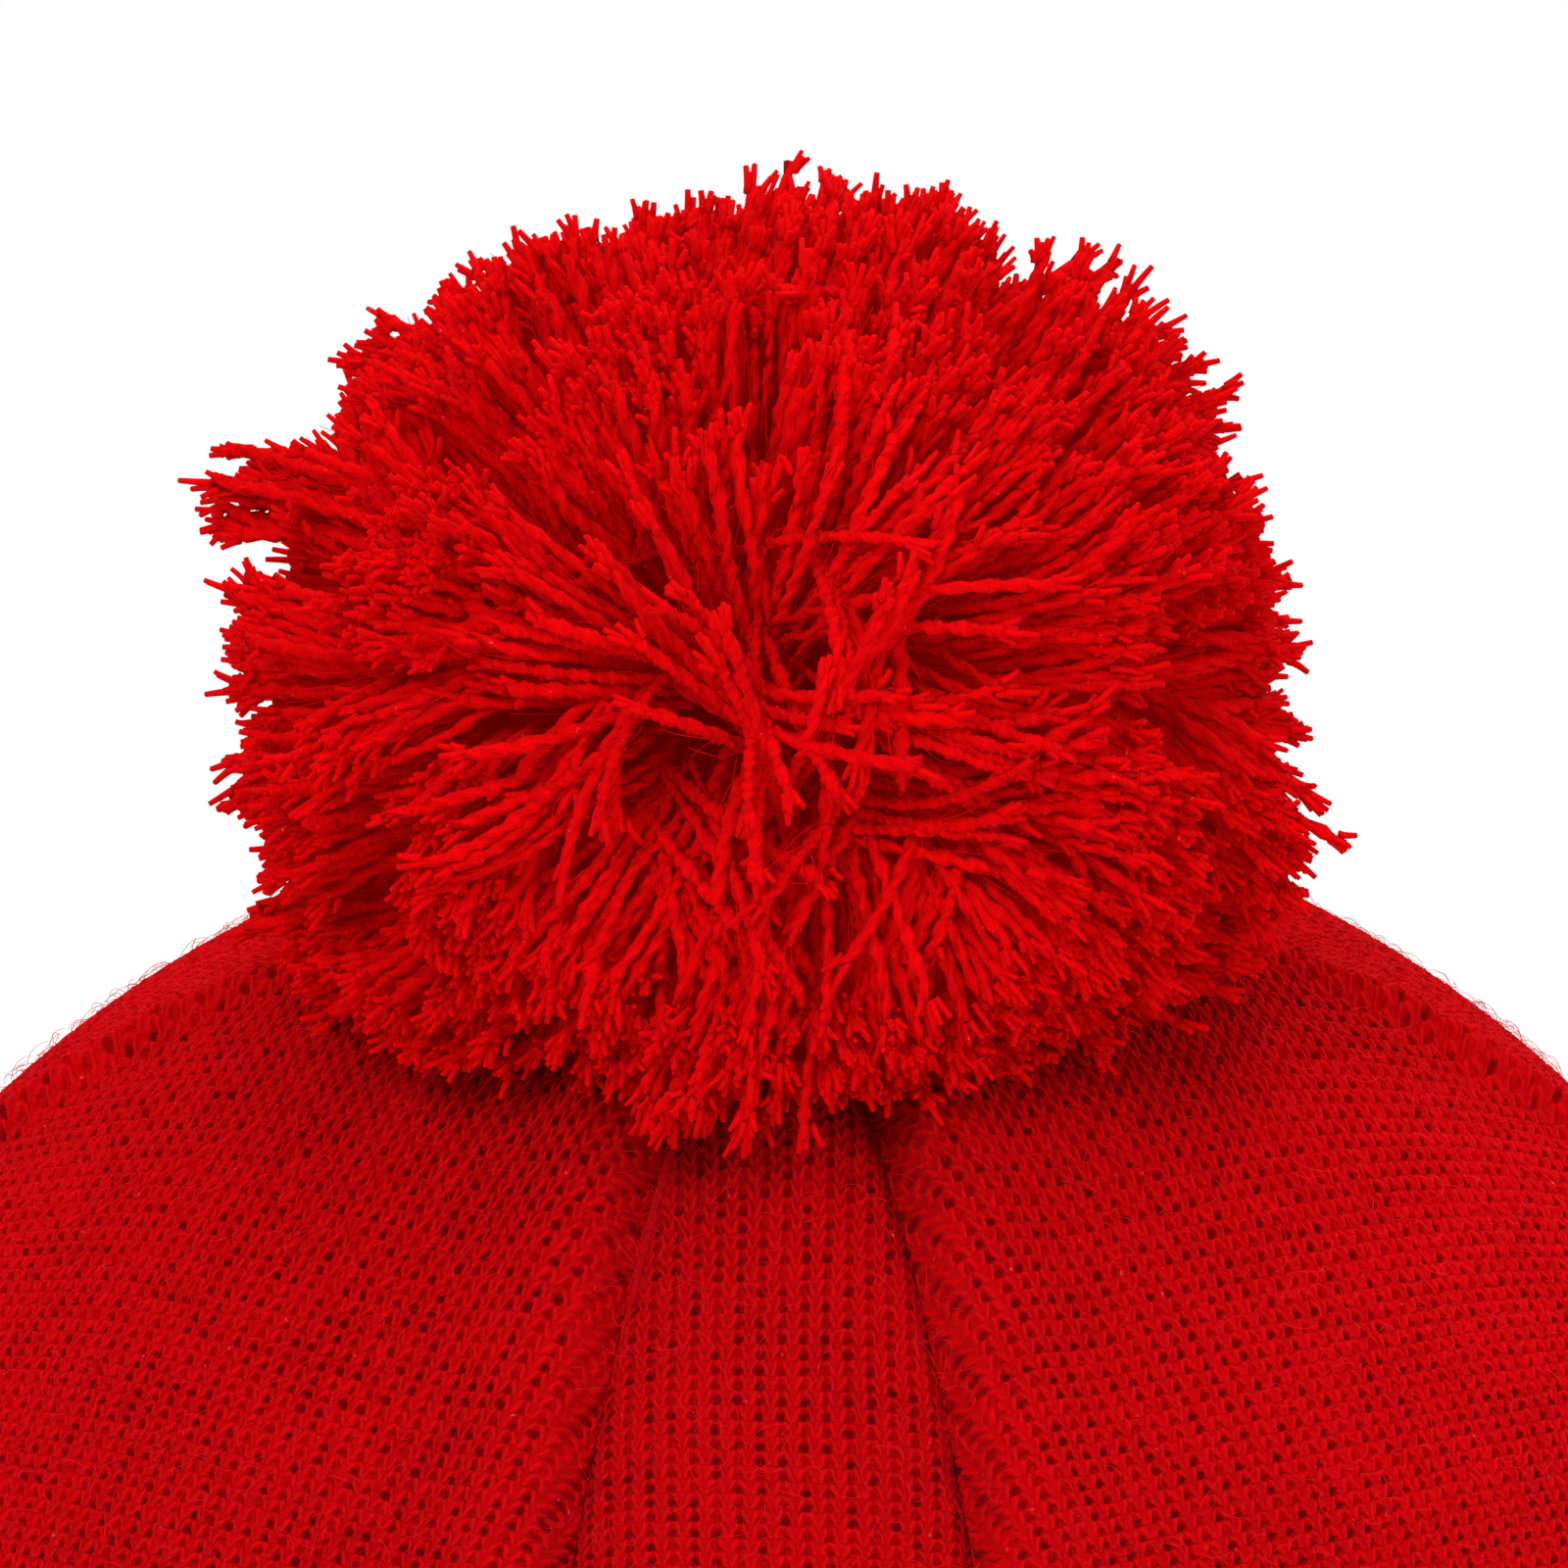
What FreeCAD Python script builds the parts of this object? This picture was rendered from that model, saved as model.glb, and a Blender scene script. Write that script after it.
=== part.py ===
"""Pom pom beanie: a two-layer knitted hat with a turned-up cuff and a yarn pom pom tied on its crown.

Millimetres. +Z is up, the front faces -Y, and the origin is the centre of the cuff's bottom edge.
An azimuth is in degrees about +Z from the front, and grows towards the wearer's left, which is +X.
"""

import FreeCAD, Part
import math
import os

os.makedirs("parts", exist_ok=True)

# Driving dimensions
LINING_RADIUS = 87.0        # inside of the hat: a girth of 547 mm, which stretches over a 56-58 cm head
LINING_THICKNESS = 2.0
SEAM_GAP = 0.8              # between lining and shell, where the seams' threads lie
SHELL_THICKNESS = 2.2
LAYER_CLEARANCE = 0.2
CUFF_BACK_THICKNESS = 2.0
CUFF_FACE_THICKNESS = 2.2
CROWN_HEIGHT = 186.0
CUFF_HEIGHT = 68.0
TOP_HOLE_RADIUS = 4.0       # where the layers are gathered round the pom pom's cord
FRONT_GORE_HALF_ANGLE = 13.0
SIDE_SEAM_AZIMUTH = 92.0
DART_END_ANGLE = 58.0       # from the crown's top, seen from the dome's centre
SEAM_START_RADIUS = 10.0    # from the hat's axis
SEAM_THREAD_WIDTH = 3.0
SEAM_THREAD_THICKNESS = 0.4
GATHER_THREAD_RADIUS = 0.28
POM_RADIUS = 41.0
POM_CORE_DISTANCE = 21.0    # from the crown's top to the tied middle of the pom pom
POM_LEAN = 19.0             # degrees forward
POM_TILT_CONE = 66.0        # half angle of the space that the upper yarn keeps within, so that it can tilt
LOWER_YARN_RADIUS = 46.5
LOWER_YARN_HOLE_RADIUS = 16.0
YARN_CLEARANCE = 0.5
CORD_RADIUS = 0.8
CORD_HALF_SPACING = 1.0
TIE_KNOT_RADIUS = 1.8
KNOT_CLEARANCE = 0.5
TIE_RING_RADIUS = 4.0
TIE_RING_WIRE_RADIUS = 1.2
CORE_POCKET_RADIUS = 6.6
CORE_NECK_RADIUS = 2.5
CORE_NECK_LENGTH = 10.0
TIP_RELIEF_RADIUS = 6.0
CORD_CHANNEL_RADIUS = 2.6
ANCHOR_KNOT_RADIUS = 5.5
ANCHOR_KNOT_DEPTH = 2.5     # from the knot's flat top down to its centre
ANCHOR_KNOT_GAP = 0.6
LABEL_WIDTH = 24.0
LABEL_LENGTH = 34.0
LABEL_THICKNESS = 0.4
LABEL_CORNER_RADIUS = 1.5
LABEL_BOTTOM = 14.0
LABEL_THREAD_RADIUS = 0.3
LABEL_THREAD_INSET = 1.5
BOOLEAN_TOLERANCE = 0.01

# Sizes that follow from them
LINING_OUTER = LINING_RADIUS + LINING_THICKNESS
SHELL_INNER = LINING_OUTER + SEAM_GAP
SHELL_OUTER = SHELL_INNER + SHELL_THICKNESS
CUFF_BACK_INNER = SHELL_OUTER + LAYER_CLEARANCE
CUFF_BACK_OUTER = CUFF_BACK_INNER + CUFF_BACK_THICKNESS
CUFF_FACE_INNER = CUFF_BACK_OUTER + LAYER_CLEARANCE
CUFF_FACE_OUTER = CUFF_FACE_INNER + CUFF_FACE_THICKNESS
DOME_HEIGHT = CROWN_HEIGHT - SHELL_OUTER
LINING_BOTTOM = CUFF_FACE_THICKNESS
CUFF_BACK_BOTTOM = CUFF_FACE_THICKNESS + LAYER_CLEARANCE
SHELL_BOTTOM = CUFF_BACK_BOTTOM + CUFF_BACK_THICKNESS
SEAM_MIDDLE = LINING_OUTER + SEAM_GAP / 2

Z_AXIS = FreeCAD.Vector(0, 0, 1)
DOME_CENTRE = FreeCAD.Vector(0, 0, DOME_HEIGHT)
CROWN_TOP = FreeCAD.Vector(0, 0, CROWN_HEIGHT)
LEAN_AXIS = FreeCAD.Vector(0, -math.sin(math.radians(POM_LEAN)), math.cos(math.radians(POM_LEAN)))
POM_CORE = CROWN_TOP + LEAN_AXIS * POM_CORE_DISTANCE


def save(node, shape):
    """Write one piece to its STEP file, and print its volume."""
    shape.exportStep(f"parts/{node}.step")
    print(f"{node:24s} {shape.Volume / 1000:9.3f} cm3  valid {shape.isValid()}  solids {len(shape.Solids)}")


def on_section(radius, height):
    """A point of a section: the section lies in the XZ plane, on the +X side."""
    return FreeCAD.Vector(radius, 0, height)


def on_dome(radius, angle):
    """A point of a section on a dome of this radius, at this angle in degrees from the crown's top."""
    turn = math.radians(angle)
    return on_section(radius * math.sin(turn), DOME_HEIGHT + radius * math.cos(turn))


def face_of(edges):
    """A flat face inside a closed run of edges."""
    return Part.Face(Part.Wire(edges))


def line(start, end):
    """A straight edge."""
    return Part.LineSegment(start, end).toShape()


def arc(start, middle, end):
    """An edge along a circle through three points."""
    return Part.Arc(start, middle, end).toShape()


def layer_section(inner, outer, bottom):
    """Section of one knitted layer: an upright wall, then a dome that stops at the hole in the crown's top."""
    inner_stop = math.degrees(math.asin(TOP_HOLE_RADIUS / inner))
    outer_stop = math.degrees(math.asin(TOP_HOLE_RADIUS / outer))
    return face_of([
        line(on_section(inner, bottom), on_section(outer, bottom)),
        line(on_section(outer, bottom), on_dome(outer, 90)),
        arc(on_dome(outer, 90), on_dome(outer, 45), on_dome(outer, outer_stop)),
        line(on_dome(outer, outer_stop), on_dome(inner, inner_stop)),
        arc(on_dome(inner, inner_stop), on_dome(inner, 45), on_dome(inner, 90)),
        line(on_dome(inner, 90), on_section(inner, bottom)),
    ])


def rounded_outline(corners):
    """A closed outline in the XZ plane through (radius, height, rounding) corners."""
    points = [on_section(radius, height) for radius, height, _ in corners]
    edges = []
    ends = []
    for index, (_, _, rounding) in enumerate(corners):
        here = points[index]
        back = (points[index - 1] - here).normalize()
        ahead = (points[(index + 1) % len(points)] - here).normalize()
        if rounding == 0:
            ends.append((here, here))
            continue
        half_turn = back.getAngle(ahead) / 2
        reach = rounding / math.tan(half_turn)
        start = here + back * reach
        end = here + ahead * reach
        centre = here + (back + ahead).normalize() * (rounding / math.sin(half_turn))
        middle = centre + (here - centre).normalize() * rounding
        ends.append((start, end))
        edges.append(arc(start, middle, end))
    for index, (_, end) in enumerate(ends):
        edges.append(line(end, ends[(index + 1) % len(ends)][0]))
    return Part.Face(Part.Wire(Part.__sortEdges__(edges)))


def wedge(section, start, end):
    """Turn a section about the hat's axis from one azimuth to another."""
    placed = section.copy()
    placed.rotate(FreeCAD.Vector(), Z_AXIS, start - 90)
    return placed.revolve(FreeCAD.Vector(), Z_AXIS, end - start)


def ring(section):
    """Turn a section all the way round the hat's axis."""
    return section.revolve(FreeCAD.Vector(), Z_AXIS, 360)


def seam_thread(azimuth, bottom_angle, bottom_height=None):
    """A flat band of overlock thread along a seam, between the lining and the shell."""
    inner = SEAM_MIDDLE - SEAM_THREAD_THICKNESS / 2
    outer = SEAM_MIDDLE + SEAM_THREAD_THICKNESS / 2
    stop = math.degrees(math.asin(SEAM_START_RADIUS / SEAM_MIDDLE))
    middle = (stop + bottom_angle) / 2
    edges = [
        arc(on_dome(outer, bottom_angle), on_dome(outer, middle), on_dome(outer, stop)),
        line(on_dome(outer, stop), on_dome(inner, stop)),
        arc(on_dome(inner, stop), on_dome(inner, middle), on_dome(inner, bottom_angle)),
    ]
    if bottom_height is None:
        edges.append(line(on_dome(inner, bottom_angle), on_dome(outer, bottom_angle)))
    else:
        edges.append(line(on_dome(inner, bottom_angle), on_section(inner, bottom_height)))
        edges.append(line(on_section(inner, bottom_height), on_section(outer, bottom_height)))
        edges.append(line(on_section(outer, bottom_height), on_dome(outer, bottom_angle)))
    band = face_of(edges)
    band.translate(FreeCAD.Vector(0, -SEAM_THREAD_WIDTH / 2, 0))
    solid = band.extrude(FreeCAD.Vector(0, SEAM_THREAD_WIDTH, 0))
    solid.rotate(FreeCAD.Vector(), Z_AXIS, azimuth - 90)
    return solid


def gather_thread(ring_radius):
    """A ring of thread that draws one layer together round the hole in the crown's top."""
    height = DOME_HEIGHT + math.sqrt(SEAM_MIDDLE ** 2 - ring_radius ** 2)
    return Part.makeTorus(ring_radius, GATHER_THREAD_RADIUS, FreeCAD.Vector(0, 0, height), Z_AXIS)


def cuff_face():
    """The cuff's outer layer, which turns in under the rim and over the cuff's top edge."""
    fabric = CUFF_FACE_THICKNESS
    return ring(rounded_outline([
        (LINING_RADIUS, 0, fabric * 0.9),
        (CUFF_FACE_OUTER, 0, fabric * 0.9),
        (CUFF_FACE_OUTER, CUFF_HEIGHT, fabric * 0.9),
        (CUFF_BACK_INNER, CUFF_HEIGHT, fabric * 0.7),
        (CUFF_BACK_INNER, CUFF_HEIGHT - fabric, 0),
        (CUFF_FACE_INNER, CUFF_HEIGHT - fabric, 0),
        (CUFF_FACE_INNER, fabric, 0),
        (LINING_RADIUS, fabric, 0),
    ]))


def cuff_back():
    """The cuff's inner layer, which is the shell's own edge turned up outside it."""
    top = CUFF_HEIGHT - CUFF_FACE_THICKNESS - LAYER_CLEARANCE
    return ring(rounded_outline([
        (SHELL_INNER, CUFF_BACK_BOTTOM, 0),
        (CUFF_BACK_OUTER, CUFF_BACK_BOTTOM, CUFF_BACK_THICKNESS / 2),
        (CUFF_BACK_OUTER, top, 0),
        (CUFF_BACK_INNER, top, 0),
        (CUFF_BACK_INNER, SHELL_BOTTOM, 0),
        (SHELL_INNER, SHELL_BOTTOM, 0),
    ]))


def label_outer_face():
    """How far back the label can lie flat against the round lining."""
    return math.sqrt(LINING_RADIUS ** 2 - (LABEL_WIDTH / 2) ** 2) - LAYER_CLEARANCE / 2


def care_label():
    """A blank tape sewn flat inside the back of the hat."""
    half = LABEL_WIDTH / 2
    top = LABEL_BOTTOM + LABEL_LENGTH
    outline = rounded_outline([
        (-half, LABEL_BOTTOM, LABEL_CORNER_RADIUS),
        (half, LABEL_BOTTOM, LABEL_CORNER_RADIUS),
        (half, top, LABEL_CORNER_RADIUS),
        (-half, top, LABEL_CORNER_RADIUS),
    ])
    outline.translate(FreeCAD.Vector(0, label_outer_face() - LABEL_THICKNESS, 0))
    return outline.extrude(FreeCAD.Vector(0, LABEL_THICKNESS, 0))


def label_thread():
    """The line of stitching along the label's top edge."""
    length = LABEL_WIDTH - 2 * LABEL_THREAD_INSET
    front = label_outer_face() - LABEL_THICKNESS - LABEL_THREAD_RADIUS * 1.2
    height = LABEL_BOTTOM + LABEL_LENGTH - LABEL_THREAD_INSET
    start = FreeCAD.Vector(-length / 2, front, height)
    return Part.makeCylinder(LABEL_THREAD_RADIUS, length, start, FreeCAD.Vector(1, 0, 0))


def cord_pair(start_height, end_height, axis):
    """Two lengths of cord side by side along an axis from the crown's top, between two distances on it."""
    strands = []
    for side in (-CORD_HALF_SPACING, CORD_HALF_SPACING):
        start = CROWN_TOP + axis * start_height + FreeCAD.Vector(side, 0, 0)
        strands.append(Part.makeCylinder(CORD_RADIUS, end_height - start_height, start, axis))
    return strands[0].fuse(strands[1])


def anchor_knot_top():
    """Height of the inside knot's flat top above the crown's top, so it is negative."""
    return LINING_RADIUS - SHELL_OUTER - ANCHOR_KNOT_GAP


def anchor_knot():
    """The knot inside the hat that the cord's ends are tied into."""
    top = CROWN_TOP + Z_AXIS * anchor_knot_top()
    centre = top - Z_AXIS * ANCHOR_KNOT_DEPTH
    ball = Part.makeSphere(ANCHOR_KNOT_RADIUS, centre)
    size = 4 * ANCHOR_KNOT_RADIUS
    above = Part.makeBox(size, size, size, top - FreeCAD.Vector(size / 2, size / 2, 0))
    return ball.cut(above)


def upper_yarn():
    """The free yarn of the pom pom: a ball that tapers to its cord, with the tied middle hollowed out."""
    slope = math.tan(math.radians(POM_TILT_CONE))
    bottom = TIP_RELIEF_RADIUS / 2
    top = 2 * (POM_CORE_DISTANCE + POM_RADIUS)
    base = CROWN_TOP + Z_AXIS * bottom
    cone = Part.makeCone(bottom * slope, top * slope, top - bottom, base, Z_AXIS)
    ball = Part.makeSphere(POM_RADIUS, POM_CORE).common([cone], BOOLEAN_TOLERANCE)
    ball = ball.cut(Part.makeSphere(TIP_RELIEF_RADIUS, CROWN_TOP))
    ball = ball.cut(Part.makeCylinder(CORD_CHANNEL_RADIUS, POM_CORE_DISTANCE, CROWN_TOP, LEAN_AXIS))
    return ball.cut(Part.makeSphere(CORE_POCKET_RADIUS, POM_CORE))


def lower_yarn():
    """The yarn that lies spread on the crown under the pom pom."""
    ball = Part.makeSphere(LOWER_YARN_RADIUS, POM_CORE)
    size = 4 * LOWER_YARN_RADIUS
    above = Part.makeBox(size, size, size, CROWN_TOP - FreeCAD.Vector(size / 2, size / 2, 0))
    dome = Part.makeSphere(SHELL_OUTER + YARN_CLEARANCE, DOME_CENTRE)
    hole = Part.makeCylinder(LOWER_YARN_HOLE_RADIUS, size, CROWN_TOP - Z_AXIS * size / 2, Z_AXIS)
    return ball.cut(above).cut(dome).cut(hole)


def build():
    """Make and save every piece."""
    shell = layer_section(SHELL_INNER, SHELL_OUTER, SHELL_BOTTOM)
    lining = layer_section(LINING_RADIUS, LINING_OUTER, LINING_BOTTOM)
    front = FRONT_GORE_HALF_ANGLE
    side = SIDE_SEAM_AZIMUTH
    gores = {
        "crown_front": (-front, front),
        "crown_front_left": (front, side),
        "crown_back_left": (side, 180 - front),
        "crown_back": (180 - front, 180 + front),
        "crown_back_right": (180 + front, 360 - side),
        "crown_front_right": (360 - side, 360 - front),
    }
    for node, (start, end) in gores.items():
        save(node, wedge(shell, start, end))
    darts = {
        "dart_thread_front_left": front,
        "dart_thread_back_left": 180 - front,
        "dart_thread_back_right": 180 + front,
        "dart_thread_front_right": 360 - front,
    }
    for node, azimuth in darts.items():
        save(node, seam_thread(azimuth, DART_END_ANGLE))
    save("side_seam_thread_left", seam_thread(side, 90, SHELL_BOTTOM))
    save("side_seam_thread_right", seam_thread(360 - side, 90, SHELL_BOTTOM))
    for index, place in enumerate(("front", "left", "back", "right")):
        save(f"lining_{place}", wedge(lining, 90 * index - 45, 90 * index + 45))
    for index, place in enumerate(("front_left", "back_left", "back_right", "front_right")):
        save(f"lining_thread_{place}", seam_thread(90 * index + 45, 90, SHELL_BOTTOM))
    save("crown_gather_thread", gather_thread(TOP_HOLE_RADIUS + 1.5))
    save("lining_gather_thread", gather_thread(TOP_HOLE_RADIUS + 3.5))
    save("cuff_face", cuff_face())
    save("cuff_back", cuff_back())
    save("care_label", care_label())
    save("label_thread", label_thread())

    knot_end = TIE_KNOT_RADIUS + KNOT_CLEARANCE
    save("anchor_knot", anchor_knot())
    save("anchor_cord", cord_pair(anchor_knot_top(), -knot_end, Z_AXIS))
    save("pom_yarn_lower", lower_yarn())
    save("tie_knot", Part.makeSphere(TIE_KNOT_RADIUS, CROWN_TOP))
    ring_end = TIE_RING_RADIUS + TIE_RING_WIRE_RADIUS
    save("tie_cord", cord_pair(knot_end, POM_CORE_DISTANCE - ring_end, LEAN_AXIS))
    bundle_axis = FreeCAD.Vector(1, 0, 0)
    save("tie_ring", Part.makeTorus(TIE_RING_RADIUS, TIE_RING_WIRE_RADIUS, POM_CORE, bundle_axis))
    neck_start = POM_CORE - bundle_axis * (CORE_NECK_LENGTH / 2)
    save("pom_yarn_neck", Part.makeCylinder(CORE_NECK_RADIUS, CORE_NECK_LENGTH, neck_start, bundle_axis))
    save("pom_yarn_upper", upper_yarn())


build()
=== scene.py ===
"""Looks of a red pom pom beanie: knitted gores, a turned-up cuff, a lining and a pom pom of cut yarn."""

import logging
import math
from dataclasses import dataclass, field
from enum import Enum

import bpy
import numpy as np
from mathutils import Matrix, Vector


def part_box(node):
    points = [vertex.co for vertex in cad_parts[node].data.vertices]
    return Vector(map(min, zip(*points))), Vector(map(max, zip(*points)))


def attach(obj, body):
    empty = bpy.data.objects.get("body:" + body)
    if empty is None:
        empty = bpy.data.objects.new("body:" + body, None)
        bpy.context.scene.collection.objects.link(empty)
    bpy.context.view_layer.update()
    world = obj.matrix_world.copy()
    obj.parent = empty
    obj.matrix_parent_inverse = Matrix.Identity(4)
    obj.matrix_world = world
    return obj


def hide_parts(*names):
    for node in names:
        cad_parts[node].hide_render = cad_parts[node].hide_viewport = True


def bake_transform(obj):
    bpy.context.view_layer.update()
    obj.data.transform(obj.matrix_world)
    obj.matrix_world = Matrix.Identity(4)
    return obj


log = logging.getLogger("beanie")
MM = 0.001
FULL_TURN = 2 * math.pi
Array = np.ndarray
Random = np.random.Generator
Piece = bpy.types.Object
Socket = bpy.types.NodeSocket


class Body(Enum):
    """The bodies of the frame that pieces ride on."""

    HAT = "hat"
    ANCHOR = "pom_anchor"
    POM = "pom_pom"


class Slot(Enum):
    """The record's material slots."""

    SHELL = "shell_knit"
    CUFF = "cuff_knit"
    LINING = "lining_knit"
    THREAD = "seam_thread"
    YARN = "pom_yarn"
    CORD = "tie_cord"
    LABEL = "label_tape"
    LABEL_STITCH = "label_stitch"


class Detail(Enum):
    """How closely a knitted surface's mesh follows its stitches: the spacing of its points in millimetres."""

    FINE = 0.34
    MEDIUM = 0.55
    COARSE = 1.1


# ---------------------------------------------------------------- meshes


def smoothstep(low: float, high: float, value: Array) -> Array:
    """Ease from 0 at low to 1 at high.

    Args:
        low: Where the result is 0.
        high: Where the result is 1.
        value: The values to ease.

    Returns:
        The eased values.
    """
    t = np.clip((value - low) / (high - low), 0.0, 1.0)
    return t * t * (3.0 - 2.0 * t)


def make_mesh(name: str, points: Array, loops: Array, sizes: Array, maps: dict[str, Array]) -> Piece:
    """Build an object from arrays.

    Args:
        name: The piece's name.
        points: Vertex positions in metres, one row each.
        loops: Vertex numbers of every face's corners, one after the other.
        sizes: How many corners each face has.
        maps: UV maps by name, one row for each corner.

    Returns:
        The new object, linked to the scene.
    """
    mesh = bpy.data.meshes.new(name)
    mesh.vertices.add(len(points))
    mesh.vertices.foreach_set("co", points.astype(np.float32).ravel())
    mesh.loops.add(len(loops))
    mesh.loops.foreach_set("vertex_index", loops.astype(np.int32))
    starts = np.concatenate([[0], np.cumsum(sizes)[:-1]])
    mesh.polygons.add(len(sizes))
    mesh.polygons.foreach_set("loop_start", starts.astype(np.int32))
    mesh.polygons.foreach_set("use_smooth", np.ones(len(sizes), dtype=bool))
    for map_name, corners in maps.items():
        layer = mesh.uv_layers.new(name=map_name)
        layer.data.foreach_set("uv", corners.astype(np.float32).ravel())
    mesh.update(calc_edges=True)
    mesh.validate()
    piece = bpy.data.objects.new(name, mesh)
    bpy.context.collection.objects.link(piece)
    return piece


def grid_faces(rows: int, columns: int, closed: bool, first: int, flip: bool) -> Array:
    """Corners of the four-sided faces of a grid of points.

    Args:
        rows: Rows of points.
        columns: Points in a row.
        closed: Whether a row's last point joins its first.
        first: The number of the grid's first point.
        flip: Whether the faces look the other way.

    Returns:
        One row of four vertex numbers for each face.
    """
    row = np.arange(rows - 1)[:, None]
    column = np.arange(columns if closed else columns - 1)[None, :]
    ahead = (column + 1) % columns
    low, high = row * columns, (row + 1) * columns
    corners = [low + column, low + ahead, high + ahead, high + column]
    faces = np.stack([np.broadcast_to(c, (rows - 1, column.shape[1])).ravel() for c in corners], axis=1)
    return first + (faces[:, ::-1] if flip else faces)


def slab(name: str, outside: Array, inside: Array, stitches: Array, step: int, closed: bool) -> Piece:
    """A closed layer of cloth from a fine outer grid and a coarse inner one.

    Args:
        name: The piece's name.
        outside: Grid of points of the side that is seen, rows by columns by 3.
        inside: Grid of points of the other side, every step-th row and column of the first.
        stitches: Stitch coordinates of the outer grid, rows by columns by 2.
        step: How many outer cells one inner cell spans.
        closed: Whether the layer goes all the way round.

    Returns:
        The new object.
    """
    rows, columns = outside.shape[:2]
    inner_rows, inner_columns = inside.shape[:2]
    base = rows * columns
    outer_faces = grid_faces(rows, columns, closed, 0, False)
    inner_faces = grid_faces(inner_rows, inner_columns, closed, base, True)
    faces = [outer_faces, inner_faces]
    loops = [part.ravel() for part in faces]
    sizes = [np.full(len(part), 4) for part in faces]

    def wall(outer: Array, inner: Array, flip: bool) -> None:
        """Close the gap along one border with faces of step + 3 corners."""
        for cell in range(len(inner) - 1):
            strip = outer[cell * step:(cell + 1) * step + 1]
            corners = np.concatenate([strip, inner[cell:cell + 2][::-1]])
            loops.append(corners[::-1] if flip else corners)
            sizes.append(np.array([len(corners)]))

    outer_numbers = np.arange(base).reshape(rows, columns)
    inner_numbers = base + np.arange(inner_rows * inner_columns).reshape(inner_rows, inner_columns)
    if closed:
        outer_numbers = np.concatenate([outer_numbers, outer_numbers[:, :1]], axis=1)
        inner_numbers = np.concatenate([inner_numbers, inner_numbers[:, :1]], axis=1)
    else:
        wall(outer_numbers[:, 0], inner_numbers[:, 0], False)
        wall(outer_numbers[:, -1], inner_numbers[:, -1], True)
    wall(outer_numbers[0], inner_numbers[0], True)
    wall(outer_numbers[-1], inner_numbers[-1], False)
    points = np.concatenate([outside.reshape(-1, 3), inside.reshape(-1, 3)])
    picked = stitches[::step, ::step][:inner_rows, :inner_columns]
    flat = np.concatenate([stitches.reshape(-1, 2), picked.reshape(-1, 2)])
    loops = np.concatenate(loops)
    return make_mesh(name, points, loops, np.concatenate(sizes), {"knit": flat[loops]})


def tubes(name: str, paths: Array, radii: Array, twist: Array, lobe: float, sides: int, marks: Array,
          first_part: float = 0.0) -> Piece:
    """Many closed tubes with two-lobed sections, such as lengths of two-ply yarn.

    Args:
        name: The piece's name.
        paths: Points along each tube, tubes by rings by 3, in metres.
        radii: Radius at each ring, tubes by rings.
        twist: How far each ring's section is turned, tubes by rings, in radians.
        lobe: How deep the groove between the two plies is, from 0 for a round section.
        sides: Corners of a section.
        marks: A number from 0 to 1 for each tube, for its shade.
        first_part: How far along a whole strand the tubes start, from 0 to 1.

    Returns:
        The new object.
    """
    count, rings = paths.shape[:2]
    along = np.gradient(paths, axis=1)
    along /= np.linalg.norm(along, axis=2, keepdims=True) + 1e-12
    helper = np.where(np.abs(along[:, :1, 2:3]) < 0.9, [[[0.0, 0.0, 1.0]]], [[[1.0, 0.0, 0.0]]])
    helper = np.broadcast_to(helper, along.shape)
    across = np.cross(along, helper)
    across /= np.linalg.norm(across, axis=2, keepdims=True) + 1e-12
    beside = np.cross(along, across)
    angle = np.arange(sides) * FULL_TURN / sides
    reach = radii[:, :, None] * (1.0 - lobe * np.sin(angle) ** 2)[None, None, :]
    turned = angle[None, None, :] + twist[:, :, None]
    ring = (paths[:, :, None, :] + across[:, :, None, :] * (np.cos(turned) * reach)[..., None]
            + beside[:, :, None, :] * (np.sin(turned) * reach)[..., None])
    base = np.arange(count)[:, None, None] * rings * sides
    row = np.arange(rings - 1)[None, :, None] * sides
    side = np.arange(sides)[None, None, :]
    ahead = (side + 1) % sides
    quads = np.stack([base + row + side, base + row + ahead, base + row + sides + ahead,
                      base + row + sides + side], axis=-1).reshape(-1, 4)
    first_caps = (base[:, 0, :] + np.arange(sides)[None, ::-1])
    last_caps = (base[:, 0, :] + (rings - 1) * sides + np.arange(sides)[None, :])
    loops = np.concatenate([quads.ravel(), first_caps.ravel(), last_caps.ravel()])
    sizes = np.concatenate([np.full(len(quads), 4), np.full(2 * count, sides)])
    length = np.linspace(first_part, 1.0, rings)
    mark = np.broadcast_to(marks[:, None, None], (count, rings, sides))
    far = np.broadcast_to(length[None, :, None], (count, rings, sides))
    flat = np.stack([mark.ravel(), far.ravel()], axis=1)
    return make_mesh(name, ring.reshape(-1, 3), loops, sizes, {"strand": flat[loops]})


def sew_on(piece: Piece, material: bpy.types.Material, node: str = "") -> Piece:
    """Dress a piece of the hat and let it ride on the hat.

    Args:
        piece: The piece.
        material: Its finish.
        node: The CAD node that it replaces, if any.

    Returns:
        The piece.
    """
    piece.data.materials.append(material)
    if node:
        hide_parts(node)
    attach(piece, Body.HAT.value)
    return piece


def held_off(points: Array, centre: Array, least: Array | float) -> Array:
    """Move points straight out until none is nearer to a centre than allowed.

    Args:
        points: Routes, in millimetres.
        centre: The crown's centre.
        least: Smallest distance from it.

    Returns:
        The moved points.
    """
    away = points - centre
    far = np.linalg.norm(away, axis=2, keepdims=True)
    return centre + away / far * np.maximum(far, least)


# ---------------------------------------------------------------- shader groups


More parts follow.
